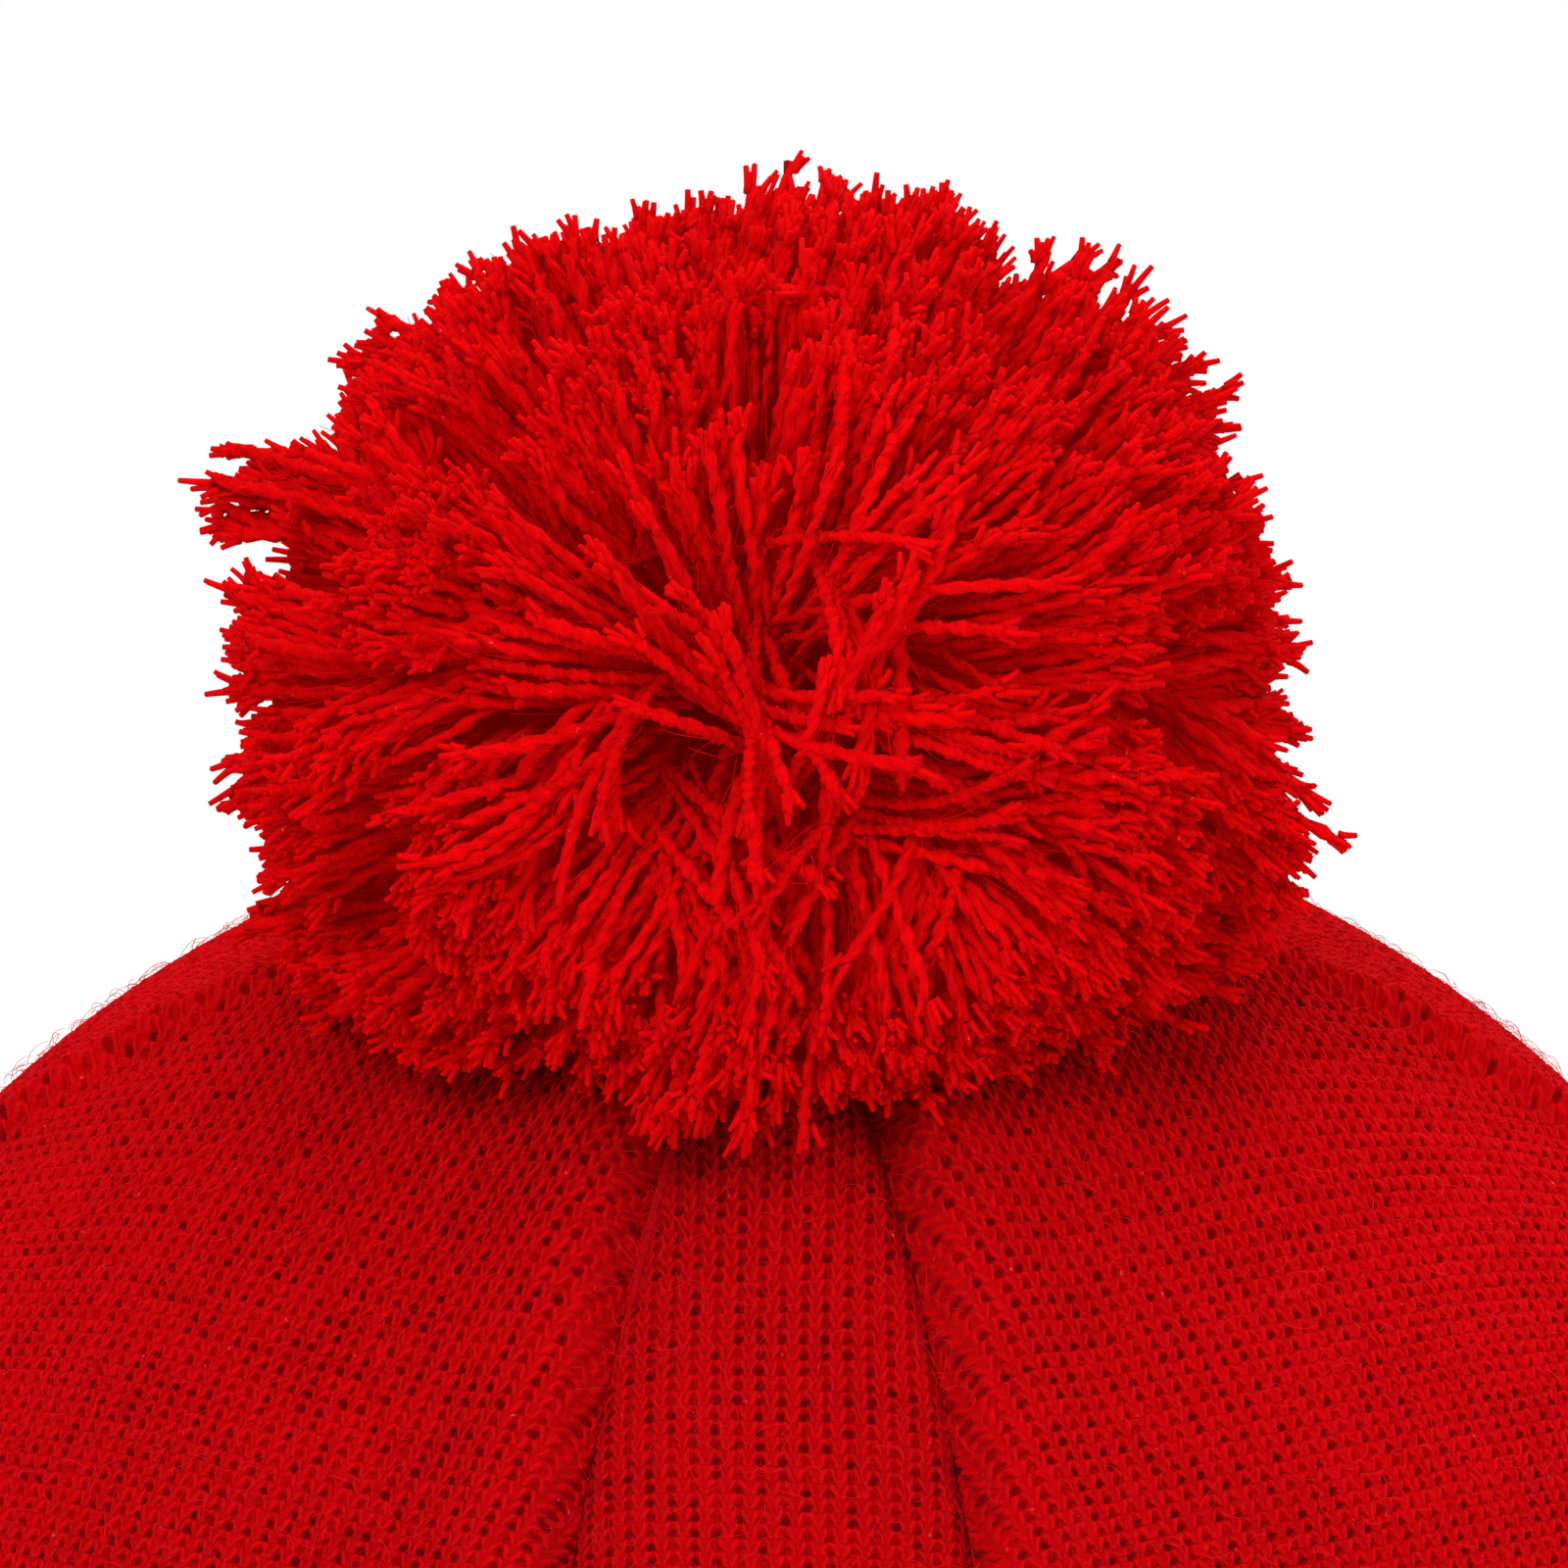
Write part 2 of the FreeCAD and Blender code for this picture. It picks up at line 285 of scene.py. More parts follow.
class GroupMaker:
    """Short ways to wire up one shader node group or material."""

    def __init__(self, tree: bpy.types.NodeTree) -> None:
        """Keep the tree that nodes are added to."""
        self.tree = tree

    def node(self, kind: str, **settings: object) -> bpy.types.Node:
        """Add a node.

        Args:
            kind: The node's type name.
            **settings: Attributes to set on it.

        Returns:
            The new node.
        """
        made = self.tree.nodes.new(kind)
        for key, value in settings.items():
            setattr(made, key, value)
        return made

    def feed(self, socket: Socket, value: object) -> None:
        """Join a socket to another, or set its value."""
        if isinstance(value, Socket):
            self.tree.links.new(value, socket)
        else:
            socket.default_value = value

    def math(self, operation: str, *values: object) -> Socket:
        """A Math node.

        Args:
            operation: The node's operation.
            *values: Sockets or numbers for its inputs.

        Returns:
            Its output.
        """
        made = self.node("ShaderNodeMath", operation=operation)
        for socket, value in zip(made.inputs, values):
            self.feed(socket, value)
        return made.outputs[0]

    def remap(self, value: object, low: float, high: float, to_low: float = 0.0,
              to_high: float = 1.0) -> Socket:
        """Ease a value from one range to another.

        Args:
            value: The socket to map.
            low: Where the result is to_low.
            high: Where the result is to_high.
            to_low: The first result.
            to_high: The last result.

        Returns:
            The mapped value.
        """
        made = self.node("ShaderNodeMapRange", interpolation_type="SMOOTHSTEP")
        for socket, item in zip(made.inputs, (value, low, high, to_low, to_high)):
            self.feed(socket, item)
        return made.outputs[0]

    def noise(self, vector: object, scale: object, detail: float, roughness: float = 0.55) -> bpy.types.Node:
        """A Noise Texture node on a vector."""
        made = self.node("ShaderNodeTexNoise")
        self.feed(made.inputs["Vector"], vector)
        self.feed(made.inputs["Scale"], scale)
        made.inputs["Detail"].default_value = detail
        made.inputs["Roughness"].default_value = roughness
        return made

    def mix(self, factor: object, first: object, second: object, blend: str = "MIX") -> Socket:
        """Mix two colours.

        Args:
            factor: Share of the second.
            first: Colour or socket.
            second: Colour or socket.
            blend: How they mix.

        Returns:
            The mixed colour.
        """
        made = self.node("ShaderNodeMix", data_type="RGBA", blend_type=blend)
        self.feed(made.inputs[0], factor)
        self.feed(made.inputs[6], first)
        self.feed(made.inputs[7], second)
        return made.outputs[2]


def new_group(name: str, inputs: dict[str, tuple[str, object]], outputs: dict[str, str]) -> GroupMaker:
    """Start a shader node group.

    Args:
        name: The group's name.
        inputs: Socket type and default by input name.
        outputs: Socket type by output name.

    Returns:
        A maker on the new group's tree.
    """
    tree = bpy.data.node_groups.new(name, "ShaderNodeTree")
    for socket_name, (kind, default) in inputs.items():
        socket = tree.interface.new_socket(name=socket_name, in_out="INPUT", socket_type=kind)
        if default is not None:
            socket.default_value = default
    for socket_name, kind in outputs.items():
        tree.interface.new_socket(name=socket_name, in_out="OUTPUT", socket_type=kind)
    return GroupMaker(tree)


def stitch_group() -> bpy.types.NodeTree:
    """Group that draws knitted stitches from stitch coordinates: one whole number for each column and course.

    Returns:
        The group, with outputs Relief, Hole and Tone.
    """
    make = new_group(
        "stitches",
        {"Stitch": ("NodeSocketVector", None), "Unevenness": ("NodeSocketFloat", 0.12)},
        {"Relief": "NodeSocketFloat", "Hole": "NodeSocketFloat", "Tone": "NodeSocketFloat"},
    )
    inside = make.node("NodeGroupInput")
    result = make.node("NodeGroupOutput")
    drift = make.noise(inside.outputs["Stitch"], 0.9, 2.0)
    centred = make.node("ShaderNodeVectorMath", operation="SUBTRACT")
    make.feed(centred.inputs[0], drift.outputs["Color"])
    make.feed(centred.inputs[1], (0.5, 0.5, 0.5))
    scaled = make.node("ShaderNodeVectorMath", operation="SCALE")
    make.feed(scaled.inputs[0], centred.outputs[0])
    make.feed(scaled.inputs["Scale"], make.math("MULTIPLY", inside.outputs["Unevenness"], 4.0))
    moved = make.node("ShaderNodeVectorMath", operation="ADD")
    make.feed(moved.inputs[0], inside.outputs["Stitch"])
    make.feed(moved.inputs[1], scaled.outputs[0])
    split = make.node("ShaderNodeSeparateXYZ")
    make.feed(split.inputs[0], moved.outputs[0])
    column = make.math("SUBTRACT", make.math("FRACT", split.outputs[0]), 0.5)
    course = make.math("FRACT", split.outputs[1])
    reach = make.math("ABSOLUTE", column)
    leg = make.math("SUBTRACT", 0.40, make.math("MULTIPLY", course, 0.27))
    off_leg = make.math("ABSOLUTE", make.math("SUBTRACT", reach, leg))
    ridge = make.remap(off_leg, 0.03, 0.24, 1.0, 0.0)
    ends = make.math("POWER", make.math("SINE", make.math("MULTIPLY", course, math.pi)), 0.45)
    relief = make.math("MULTIPLY", ridge, make.math("ADD", make.math("MULTIPLY", ends, 0.6), 0.4))
    across = make.math("POWER", make.math("DIVIDE", reach, 0.22), 2.0)
    height = make.math("POWER", make.math("DIVIDE", make.math("SUBTRACT", course, 0.30), 0.27), 2.0)
    hole = make.remap(make.math("ADD", across, height), 0.15, 1.45, 1.0, 0.0)
    cell = make.node("ShaderNodeVectorMath", operation="FLOOR")
    make.feed(cell.inputs[0], moved.outputs[0])
    shade = make.node("ShaderNodeTexWhiteNoise", noise_dimensions="2D")
    make.feed(shade.inputs["Vector"], cell.outputs[0])
    depth = make.remap(shade.outputs["Value"], 0.0, 1.0, 0.35, 1.0)
    make.feed(result.inputs["Relief"], relief)
    make.feed(result.inputs["Hole"], make.math("MULTIPLY", hole, depth))
    make.feed(result.inputs["Tone"], shade.outputs["Value"])
    return make.tree


def fibre_group() -> bpy.types.NodeTree:
    """Group for the fine hairs of spun acrylic: streaks, soft blotches and rare pale specks.

    Returns:
        The group, with outputs Streaks, Blotches and Specks.
    """
    make = new_group(
        "fibres",
        {"Place": ("NodeSocketVector", None), "Fineness": ("NodeSocketFloat", 4000.0)},
        {"Streaks": "NodeSocketFloat", "Blotches": "NodeSocketFloat", "Specks": "NodeSocketFloat"},
    )
    inside = make.node("NodeGroupInput")
    result = make.node("NodeGroupOutput")
    stretch = make.node("ShaderNodeMapping")
    make.feed(stretch.inputs["Vector"], inside.outputs["Place"])
    stretch.inputs["Scale"].default_value = (1.0, 1.0, 0.28)
    streaks = make.noise(stretch.outputs[0], inside.outputs["Fineness"], 3.0, 0.7)
    blotches = make.noise(inside.outputs["Place"], 90.0, 3.0)
    speck_noise = make.noise(inside.outputs["Place"], 2300.0, 0.0)
    make.feed(result.inputs["Streaks"], streaks.outputs["Fac"])
    make.feed(result.inputs["Blotches"], blotches.outputs["Fac"])
    make.feed(result.inputs["Specks"], make.remap(speck_noise.outputs["Fac"], 0.84, 0.90))
    return make.tree


@dataclass(frozen=True)
class Groups:
    """The shader groups that materials share."""

    stitches: bpy.types.NodeTree
    fibres: bpy.types.NodeTree


Colour = tuple[float, float, float, float]


def set_fuzzy(shader: bpy.types.Node, roughness: float, sheen: float, spread: float, tint: Colour) -> None:
    """Set the constants of a soft, matt yarn surface.

    Args:
        shader: The material's Principled BSDF.
        roughness: Its roughness.
        sheen: Weight of the soft edge.
        spread: Roughness of that edge.
        tint: Its colour.
    """
    shader.inputs["Roughness"].default_value = roughness
    shader.inputs["Specular IOR Level"].default_value = 0.02
    shader.inputs["Sheen Weight"].default_value = sheen
    shader.inputs["Sheen Roughness"].default_value = spread
    shader.inputs["Sheen Tint"].default_value = tint


def set_bump_and_painted_glow(make: GroupMaker, shader: bpy.types.Node, height: object, distance: float, colour: Colour,
               glow: float) -> None:
    """Give a material its bump, and a faint painted glow: a constant emission that stands in for the light
    the fibres pass on.

    Args:
        make: The material's maker.
        shader: Its Principled BSDF.
        height: Height of the bump.
        distance: How high it is, in metres.
        colour: Colour of the painted glow.
        glow: Strength of the painted glow.
    """
    bump = make.node("ShaderNodeBump")
    bump.inputs["Strength"].default_value = 1.0
    bump.inputs["Distance"].default_value = distance
    make.feed(bump.inputs["Height"], height)
    make.feed(shader.inputs["Normal"], bump.outputs[0])
    # Painted glow: the whole surface emits a faint constant light in the yarn's colour, standing in for light
    # passed through the fibres.
    shader.inputs["Emission Color"].default_value = colour
    shader.inputs["Emission Strength"].default_value = glow


@dataclass(frozen=True)
class KnitFinish:
    """Finish of a knitted layer.

    Attributes:
        name: The material's name.
        colour: The yarn's own colour.
        deep: Colour of the painted shade down between the stitches; the random tone of fibres and stitches
            also mixes towards it.
        relief: How high the drawn stitches stand, in metres.
        hole_strength: How much painted shade darkens the holes, and how far they sink in the bump.
        sheen: Weight of the soft pale edge that fuzz gives.
        glow: Strength of a painted glow, a constant emission that stands in for light the fibres pass on down
            into the gaps.
    """

    name: str
    colour: Colour
    deep: Colour
    relief: float = 0.0003
    hole_strength: float = 1.0
    sheen: float = 0.05
    glow: float = 0.02

    def material(self, groups: Groups) -> bpy.types.Material:
        """Build the material.

        Args:
            groups: The shared shader groups.

        Returns:
            The material.
        """
        material = bpy.data.materials.new(self.name)
        material.use_nodes = True
        make = GroupMaker(material.node_tree)
        shader = material.node_tree.nodes["Principled BSDF"]
        place = make.node("ShaderNodeUVMap", uv_map="knit")
        spot = make.node("ShaderNodeTexCoord")
        stitches = make.node("ShaderNodeGroup", node_tree=groups.stitches)
        make.feed(stitches.inputs["Stitch"], place.outputs[0])
        fibres = make.node("ShaderNodeGroup", node_tree=groups.fibres)
        make.feed(fibres.inputs["Place"], spot.outputs["Object"])
        fibres.inputs["Fineness"].default_value = 3200.0
        # Painted shade: the ground between the raised stitch legs and the holes is mixed towards the deep
        # colour, standing in for shade in the recesses; grain, stitch tone and blotches add real random tone.
        low = make.math("SUBTRACT", 1.0, stitches.outputs["Relief"])
        shade = make.math("MULTIPLY", low, 0.34)
        hole = make.math("MULTIPLY", stitches.outputs["Hole"], self.hole_strength)
        shade = make.math("MAXIMUM", shade, hole)
        grain = make.remap(fibres.outputs["Streaks"], 0.3, 0.7, -0.16, 0.14)
        tone = make.remap(stitches.outputs["Tone"], 0.0, 1.0, -0.06, 0.06)
        cloud = make.remap(fibres.outputs["Blotches"], 0.3, 0.7, -0.08, 0.08)
        shade = make.math("ADD", shade, make.math("ADD", make.math("ADD", grain, tone), cloud))
        shade = make.math("MINIMUM", make.math("MAXIMUM", shade, 0.0), 1.0)
        colour = make.mix(shade, self.colour, self.deep)
        pale = tuple(min(1.0, part * 1.5 + 0.10) for part in self.colour[:3]) + (1.0,)
        colour = make.mix(make.math("MULTIPLY", fibres.outputs["Specks"], 0.35), colour, pale)
        make.feed(shader.inputs["Base Color"], colour)
        set_fuzzy(shader, 0.9, self.sheen, 0.45, (1.0, 0.10, 0.16, 1.0))
        height = make.math("SUBTRACT", stitches.outputs["Relief"], make.math("MULTIPLY", hole, 0.7))
        height = make.math("ADD", height, make.math("MULTIPLY", fibres.outputs["Streaks"], 0.35))
        set_bump_and_painted_glow(make, shader, height, self.relief, self.colour, self.glow)
        return material


@dataclass(frozen=True)
class YarnFinish:
    """Finish of loose yarn, cord or thread.

    Attributes:
        name: The material's name.
        colour: The yarn's own colour.
        deep: Colour of the painted shade at the strands' roots, and of darker strands.
        fineness: Scale of the fibres' streaks.
        relief: Height of the fibres, in metres.
        sheen: Weight of the soft edge that fuzz gives.
        glow: Strength of a painted glow, a constant emission that stands in for light the fibres pass on down
            into the gaps.
    """

    name: str
    colour: Colour
    deep: Colour
    fineness: float = 3600.0
    relief: float = 0.00022
    sheen: float = 0.07
    glow: float = 0.07

    def material(self, groups: Groups) -> bpy.types.Material:
        """Build the material.

        Args:
            groups: The shared shader groups.

        Returns:
            The material.
        """
        material = bpy.data.materials.new(self.name)
        material.use_nodes = True
        make = GroupMaker(material.node_tree)
        shader = material.node_tree.nodes["Principled BSDF"]
        strand = make.node("ShaderNodeUVMap", uv_map="strand")
        split = make.node("ShaderNodeSeparateXYZ")
        make.feed(split.inputs[0], strand.outputs[0])
        spot = make.node("ShaderNodeTexCoord")
        fibres = make.node("ShaderNodeGroup", node_tree=groups.fibres)
        make.feed(fibres.inputs["Place"], spot.outputs["Object"])
        fibres.inputs["Fineness"].default_value = self.fineness
        # Painted shade: strands get darker towards their roots, standing in for shade where they crowd
        # together; each strand's mark and the fibre streaks add real random tone.
        root = make.remap(split.outputs[1], 0.05, 0.5, 0.4, 0.0)
        own = make.remap(split.outputs[0], 0.0, 1.0, 0.0, 0.22)
        grain = make.remap(fibres.outputs["Streaks"], 0.3, 0.7, 0.22, -0.12)
        shade = make.math("ADD", root, make.math("ADD", own, grain))
        shade = make.math("MINIMUM", make.math("MAXIMUM", shade, 0.0), 1.0)
        colour = make.mix(shade, self.colour, self.deep)
        pale = tuple(min(1.0, part * 1.3 + 0.12) for part in self.colour[:3]) + (1.0,)
        colour = make.mix(make.math("MULTIPLY", fibres.outputs["Specks"], 0.3), colour, pale)
        make.feed(shader.inputs["Base Color"], colour)
        set_fuzzy(shader, 0.85, self.sheen, 0.4, (1.0, 0.08, 0.10, 1.0))
        set_bump_and_painted_glow(make, shader, fibres.outputs["Streaks"], self.relief, self.colour, self.glow)
        return material


# ---------------------------------------------------------------- knitted surfaces


@dataclass(frozen=True)
class Knit:
    """The fabric's stitches.

    Attributes:
        column: Width of a stitch column, in millimetres.
        course: Height of a course low on the hat.
        stretched_course: Height of a course close to the crown's top.
        relief: How far the stitches stand proud of their holes, in millimetres.
    """

    column: float = 1.60
    course: float = 1.15
    stretched_course: float = 1.75
    relief: float = 0.42

    def courses(self, length: Array, dome_start: float, dome_radius: float) -> Array:
        """Count courses along a column.

        Args:
            length: Distance up the column from the hat's base, in millimetres.
            dome_start: Where along it the dome begins.
            dome_radius: The dome's radius.

        Returns:
            The course number at each length.
        """
        samples = np.linspace(-20.0, dome_start + dome_radius * math.pi, 2000)
        from_top = 90.0 - np.degrees((samples - dome_start) / dome_radius)
        settled = smoothstep(20.0, 46.0, from_top)
        height = self.stretched_course + (self.course - self.stretched_course) * settled
        numbers = np.concatenate([[0.0], np.cumsum(np.diff(samples) / height[1:])])
        return np.interp(length, samples, numbers)

    def height(self, column: Array, course: Array) -> Array:
        """Relief of the stitches.

        Args:
            column: Column numbers, with fractions.
            course: Course numbers, with fractions.

        Returns:
            Height in millimetres, about zero in the mean.
        """
        across = np.abs(column - np.floor(column) - 0.5)
        up = course - np.floor(course)
        leg = 1.0 - smoothstep(0.04, 0.26, np.abs(across - (0.40 - 0.27 * up)))
        leg = leg * (0.4 + 0.6 * np.sin(np.pi * np.clip(up, 0.0, 1.0)) ** 0.45)
        hole = np.clip(1.0 - (across / 0.25) ** 2 - ((up - 0.30) / 0.3) ** 2, 0.0, 1.0)
        return self.relief * (leg - 0.9 * hole - 0.45)


def waves(x: Array, y: Array, scale: float, seed: int) -> Array:
    """Gentle smooth unevenness made of a few sine waves.

    Args:
        x: First coordinate, in millimetres.
        y: Second coordinate.
        scale: Length of the main waves.
        seed: Which pattern.

    Returns:
        Values from about -1 to 1.
    """
    random = np.random.default_rng(seed)
    total = np.zeros(np.broadcast(x, y).shape)
    for _ in range(7):
        turn, phase = random.uniform(0, FULL_TURN, 2)
        length = scale * random.uniform(0.6, 1.6)
        total = total + np.sin((x * math.cos(turn) + y * math.sin(turn)) * FULL_TURN / length + phase)
    return total / 3.5


@dataclass
class Shape:
    """The hat's main sizes, read from the frame, in millimetres."""

    shell_radius: float = field(init=False)
    crown_top: float = field(init=False)
    dome_height: float = field(init=False)
    cuff_radius: float = field(init=False)
    cuff_height: float = field(init=False)
    lining_radius: float = field(init=False)
    hole_radius: float = 4.0

    def __post_init__(self) -> None:
        """Read the sizes."""
        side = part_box("crown_front_left")
        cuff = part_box("cuff_face")
        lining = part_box("lining_front")
        self.shell_radius = side[1][0] / MM
        self.crown_top = side[1][2] / MM
        self.crown_top += self.hole_radius ** 2 / (2 * self.shell_radius)
        self.dome_height = self.crown_top - self.shell_radius
        self.cuff_radius = cuff[1][0] / MM
        self.cuff_height = cuff[1][2] / MM
        self.lining_radius = -lining[0][1] / MM - 2.0

    @property
    def centre(self) -> Array:
        """The dome's centre."""
        return np.array([0.0, 0.0, self.dome_height])

    def meridian(self, length: Array, radius: float) -> tuple[Array, Array]:
        """Follow the upright wall and the dome.

        Args:
            length: Distance up from the base, in millimetres.
            radius: The layer's radius.

        Returns:
            Distance from the axis and angle above the horizontal, seen from the dome's centre.
        """
        angle = np.clip((length - self.dome_height) / radius, 0.0, math.pi / 2)
        return radius * np.cos(angle), angle

    def place(self, azimuth: Array, length: Array, radius: float, lift: Array) -> Array:
        """Points on a layer.

        Args:
            azimuth: Radians about the axis from the front.
            length: Distance up the layer from the base, in millimetres.
            radius: The layer's radius.
            lift: How far out of it each point stands, in millimetres.

        Returns:
            Positions in metres.
        """
        _, angle = self.meridian(length, radius)
        out = (radius + lift) * np.cos(angle)
        up = np.where(length < self.dome_height, length, self.dome_height + (radius + lift) * np.sin(angle))
        return np.stack([out * np.sin(azimuth), -out * np.cos(azimuth), up], axis=-1) * MM


def uneven_steps(stretches: list[tuple[float, float, float]], step: int) -> Array:
    """Positions at different spacings along a line.

    Args:
        stretches: Start, end and spacing of each stretch in turn.
        step: The number of cells is a multiple of this.

    Returns:
        The positions.
    """
    parts = []
    for start, end, spacing in stretches:
        cells = max(step, int(round((end - start) / spacing / step)) * step)
        parts.append(np.linspace(start, end, cells + 1)[:-1])
    return np.concatenate(parts + [[stretches[-1][1]]])


@dataclass
class Crown:
    """The six gores of the outer layer, which lean into each other along their seams.

    Attributes:
        shape: The hat's sizes.
        knit: The stitches.
        material: The knit's material.
        crease_width: How far from a dart seam the cloth starts to roll, in millimetres.
        crease_depth: How deep the front gore dips at its creases.
        slit_depth: How much deeper its seam lies.
        side_ridge: Height of the ridge along a side seam.
    """

    shape: Shape
    knit: Knit
    material: bpy.types.Material
    crease_width: float = 7.0
    crease_depth: float = 2.0
    slit_depth: float = 1.6
    side_ridge: float = 2.2
    step: int = 8

    def gores(self) -> dict[str, tuple[float, float, Detail]]:
        """Start and end azimuth in degrees, and detail, of each gore."""
        return {
            "crown_front": (-13.0, 13.0, Detail.FINE),
            "crown_front_left": (13.0, 92.0, Detail.FINE),
            "crown_back_left": (92.0, 167.0, Detail.MEDIUM),
            "crown_back": (167.0, 193.0, Detail.MEDIUM),
            "crown_back_right": (193.0, 268.0, Detail.MEDIUM),
            "crown_front_right": (268.0, 347.0, Detail.FINE),
        }

    def stitches(self, turn: Array, length: Array) -> Array:
        """Stitch coordinates in a gore, whose columns run level with its middle line all the way up.

        Args:
            turn: Radians from the gore's middle.
            length: Distance up from the base, in millimetres.

        Returns:
            Column and course numbers.
        """
        radius = self.shape.shell_radius
        _, angle = self.shape.meridian(length, radius)
        across = radius * np.arcsin(np.clip(np.cos(angle) * np.sin(turn), -1.0, 1.0))
        rise = np.arctan2(np.sin(angle), np.cos(angle) * np.cos(turn))
        along = np.where(angle > 0, self.shape.dome_height + radius * rise, length)
        across = np.where(angle > 0, across, radius * np.arcsin(np.sin(turn)))
        across = across + 0.25 * waves(across, along, 34.0, 5)
        along = along + 0.35 * waves(across, along, 41.0, 6)
        courses = self.knit.courses(along, self.shape.dome_height, radius)
        return np.stack([across / self.knit.column, courses], axis=-1)

    @staticmethod
    def column_lean(name: str) -> float:
        """How far from a gore's middle its upright stitch columns lie, in radians."""
        leans = {"crown_front_left": -0.33, "crown_front_right": 0.33}
        return leans.get(name, 0.0)

    def fold(self, name: str, turn: Array, half: float, length: Array) -> Array:
        """Large shape of a gore: the rolls and dips along its seams.

        Args:
            name: The gore.
            turn: Radians from its middle.
            half: Its half width in radians.
            length: Distance up from the base, in millimetres.

        Returns:
            Lift in millimetres.
        """
        around, angle = self.shape.meridian(length, self.shape.shell_radius)
        from_top = 90.0 - np.degrees(angle)
        firm = 1.0 - smoothstep(48.0, 76.0, from_top)
        near_top = smoothstep(4.0, 14.0, from_top)
        to_start = (half + turn) * around
        to_end = (half - turn) * around
        narrow = name in ("crown_front", "crown_back")
        if narrow:
            edge = np.minimum(to_start, to_end)
            dip = 1.0 - smoothstep(0.0, self.crease_width, edge)
            slit = 1.0 - smoothstep(0.0, 1.5, edge)
            return -(self.crease_depth * dip + self.slit_depth * slit) * firm * near_top
        dart_first = name in ("crown_front_left", "crown_back_right")
        dart, side = (to_start, to_end) if dart_first else (to_end, to_start)
        roll = 2.1 * np.exp(-((dart - 5.2) / 3.8) ** 2)
        dive = -(self.crease_depth + self.slit_depth) * (1.0 - smoothstep(0.0, 2.6, dart))
        front = name in ("crown_front_left", "crown_front_right")
        ridge = self.side_ridge * np.exp(-((side - 2.4) / 1.6) ** 2) * (1.0 if front else 0.15)
        groove = -1.5 * (1.0 - smoothstep(0.0, 1.7, side))
        whole = 1.0 - smoothstep(70.0, 96.0, from_top)
        clear = smoothstep(16.0, 32.0, from_top)
        return (roll + dive) * firm * near_top + (ridge + groove) * clear * (0.35 + 0.65 * whole)

    def swell(self, azimuth: Array, length: Array) -> Array:
        """How far the soft crown stands fuller than its plain dome, a little more on the wearer's left.

        Args:
            azimuth: Radians about the axis from the front.
            length: Distance up from the base, in millimetres.

        Returns:
            Lift in millimetres.
        """
        _, angle = self.shape.meridian(length, self.shape.shell_radius)
        from_top = 90.0 - np.degrees(angle)
        free = smoothstep(self.shape.cuff_height + 2.0, self.shape.dome_height + 25.0, length)
        return (1.5 + 0.8 * np.sin(azimuth)) * free * smoothstep(8.0, 18.0, from_top)

    def build(self) -> list[Piece]:
        """Make every gore.

        Returns:
            The gores' objects.
        """
        return [self.gore(name, *sizes) for name, sizes in self.gores().items()]

    def gore(self, name: str, start: float, end: float, detail: Detail) -> Piece:
        """Make one gore.

        Args:
            name: The CAD node that it replaces.
            start: Azimuth of its first seam, in degrees.
            end: Azimuth of its last seam.
            detail: How fine its mesh is.

        Returns:
            The gore's object.
        """
        radius = self.shape.shell_radius
        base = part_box(name)[0][2] / MM
        top = self.shape.dome_height + radius * (math.pi / 2 - self.shape.hole_radius / radius)
        seen_low = self.shape.dome_height + radius * math.radians(90 - 66)
        seen_high = self.shape.dome_height + radius * math.radians(90 - 20)
        under_cuff = self.shape.cuff_height - 6.0
        spacing = detail.value
        rows = uneven_steps([
            (base, under_cuff, 4.0),
            (under_cuff, seen_low, max(spacing, Detail.MEDIUM.value)),
            (seen_low, seen_high, spacing),
            (seen_high, top, max(spacing, Detail.MEDIUM.value)),
        ], self.step)
        half = math.radians(end - start) / 2
        cells = int(round(2 * half * radius / (spacing * 1.12) / self.step)) * self.step
        turn = np.linspace(-half, half, cells + 1)[None, :]
        length = rows[:, None]
        turn, length = np.broadcast_arrays(turn, length)
        stitches = self.stitches(turn - self.column_lean(name), length)
        lift = self.fold(name, turn, half, length) + self.knit.height(stitches[..., 0], stitches[..., 1])
        azimuth = math.radians(start + end) / 2 + turn
        wobble = waves(radius * np.sin(azimuth) * 1.3, length + 40 * np.cos(azimuth), 55.0, 11)
        tucked = smoothstep(self.shape.cuff_height - 5.0, self.shape.cuff_height + 4.0, length)
        swell = self.swell(azimuth, length)
        lift = lift * (0.25 + 0.75 * tucked) + 0.45 * wobble * tucked - 0.45 + swell
        outside = self.shape.place(azimuth, length, radius, lift)
        under = (self.fold(name, turn, half, length) * 0.5 + swell)[::self.step, ::self.step] - 2.2
        coarse = (slice(None, None, self.step), slice(None, None, self.step))
        inside = self.shape.place(azimuth[coarse], length[coarse], radius, under)
        piece = slab(f"knit_{name}", outside, inside, stitches, self.step, False)
        return sew_on(piece, self.material, name)


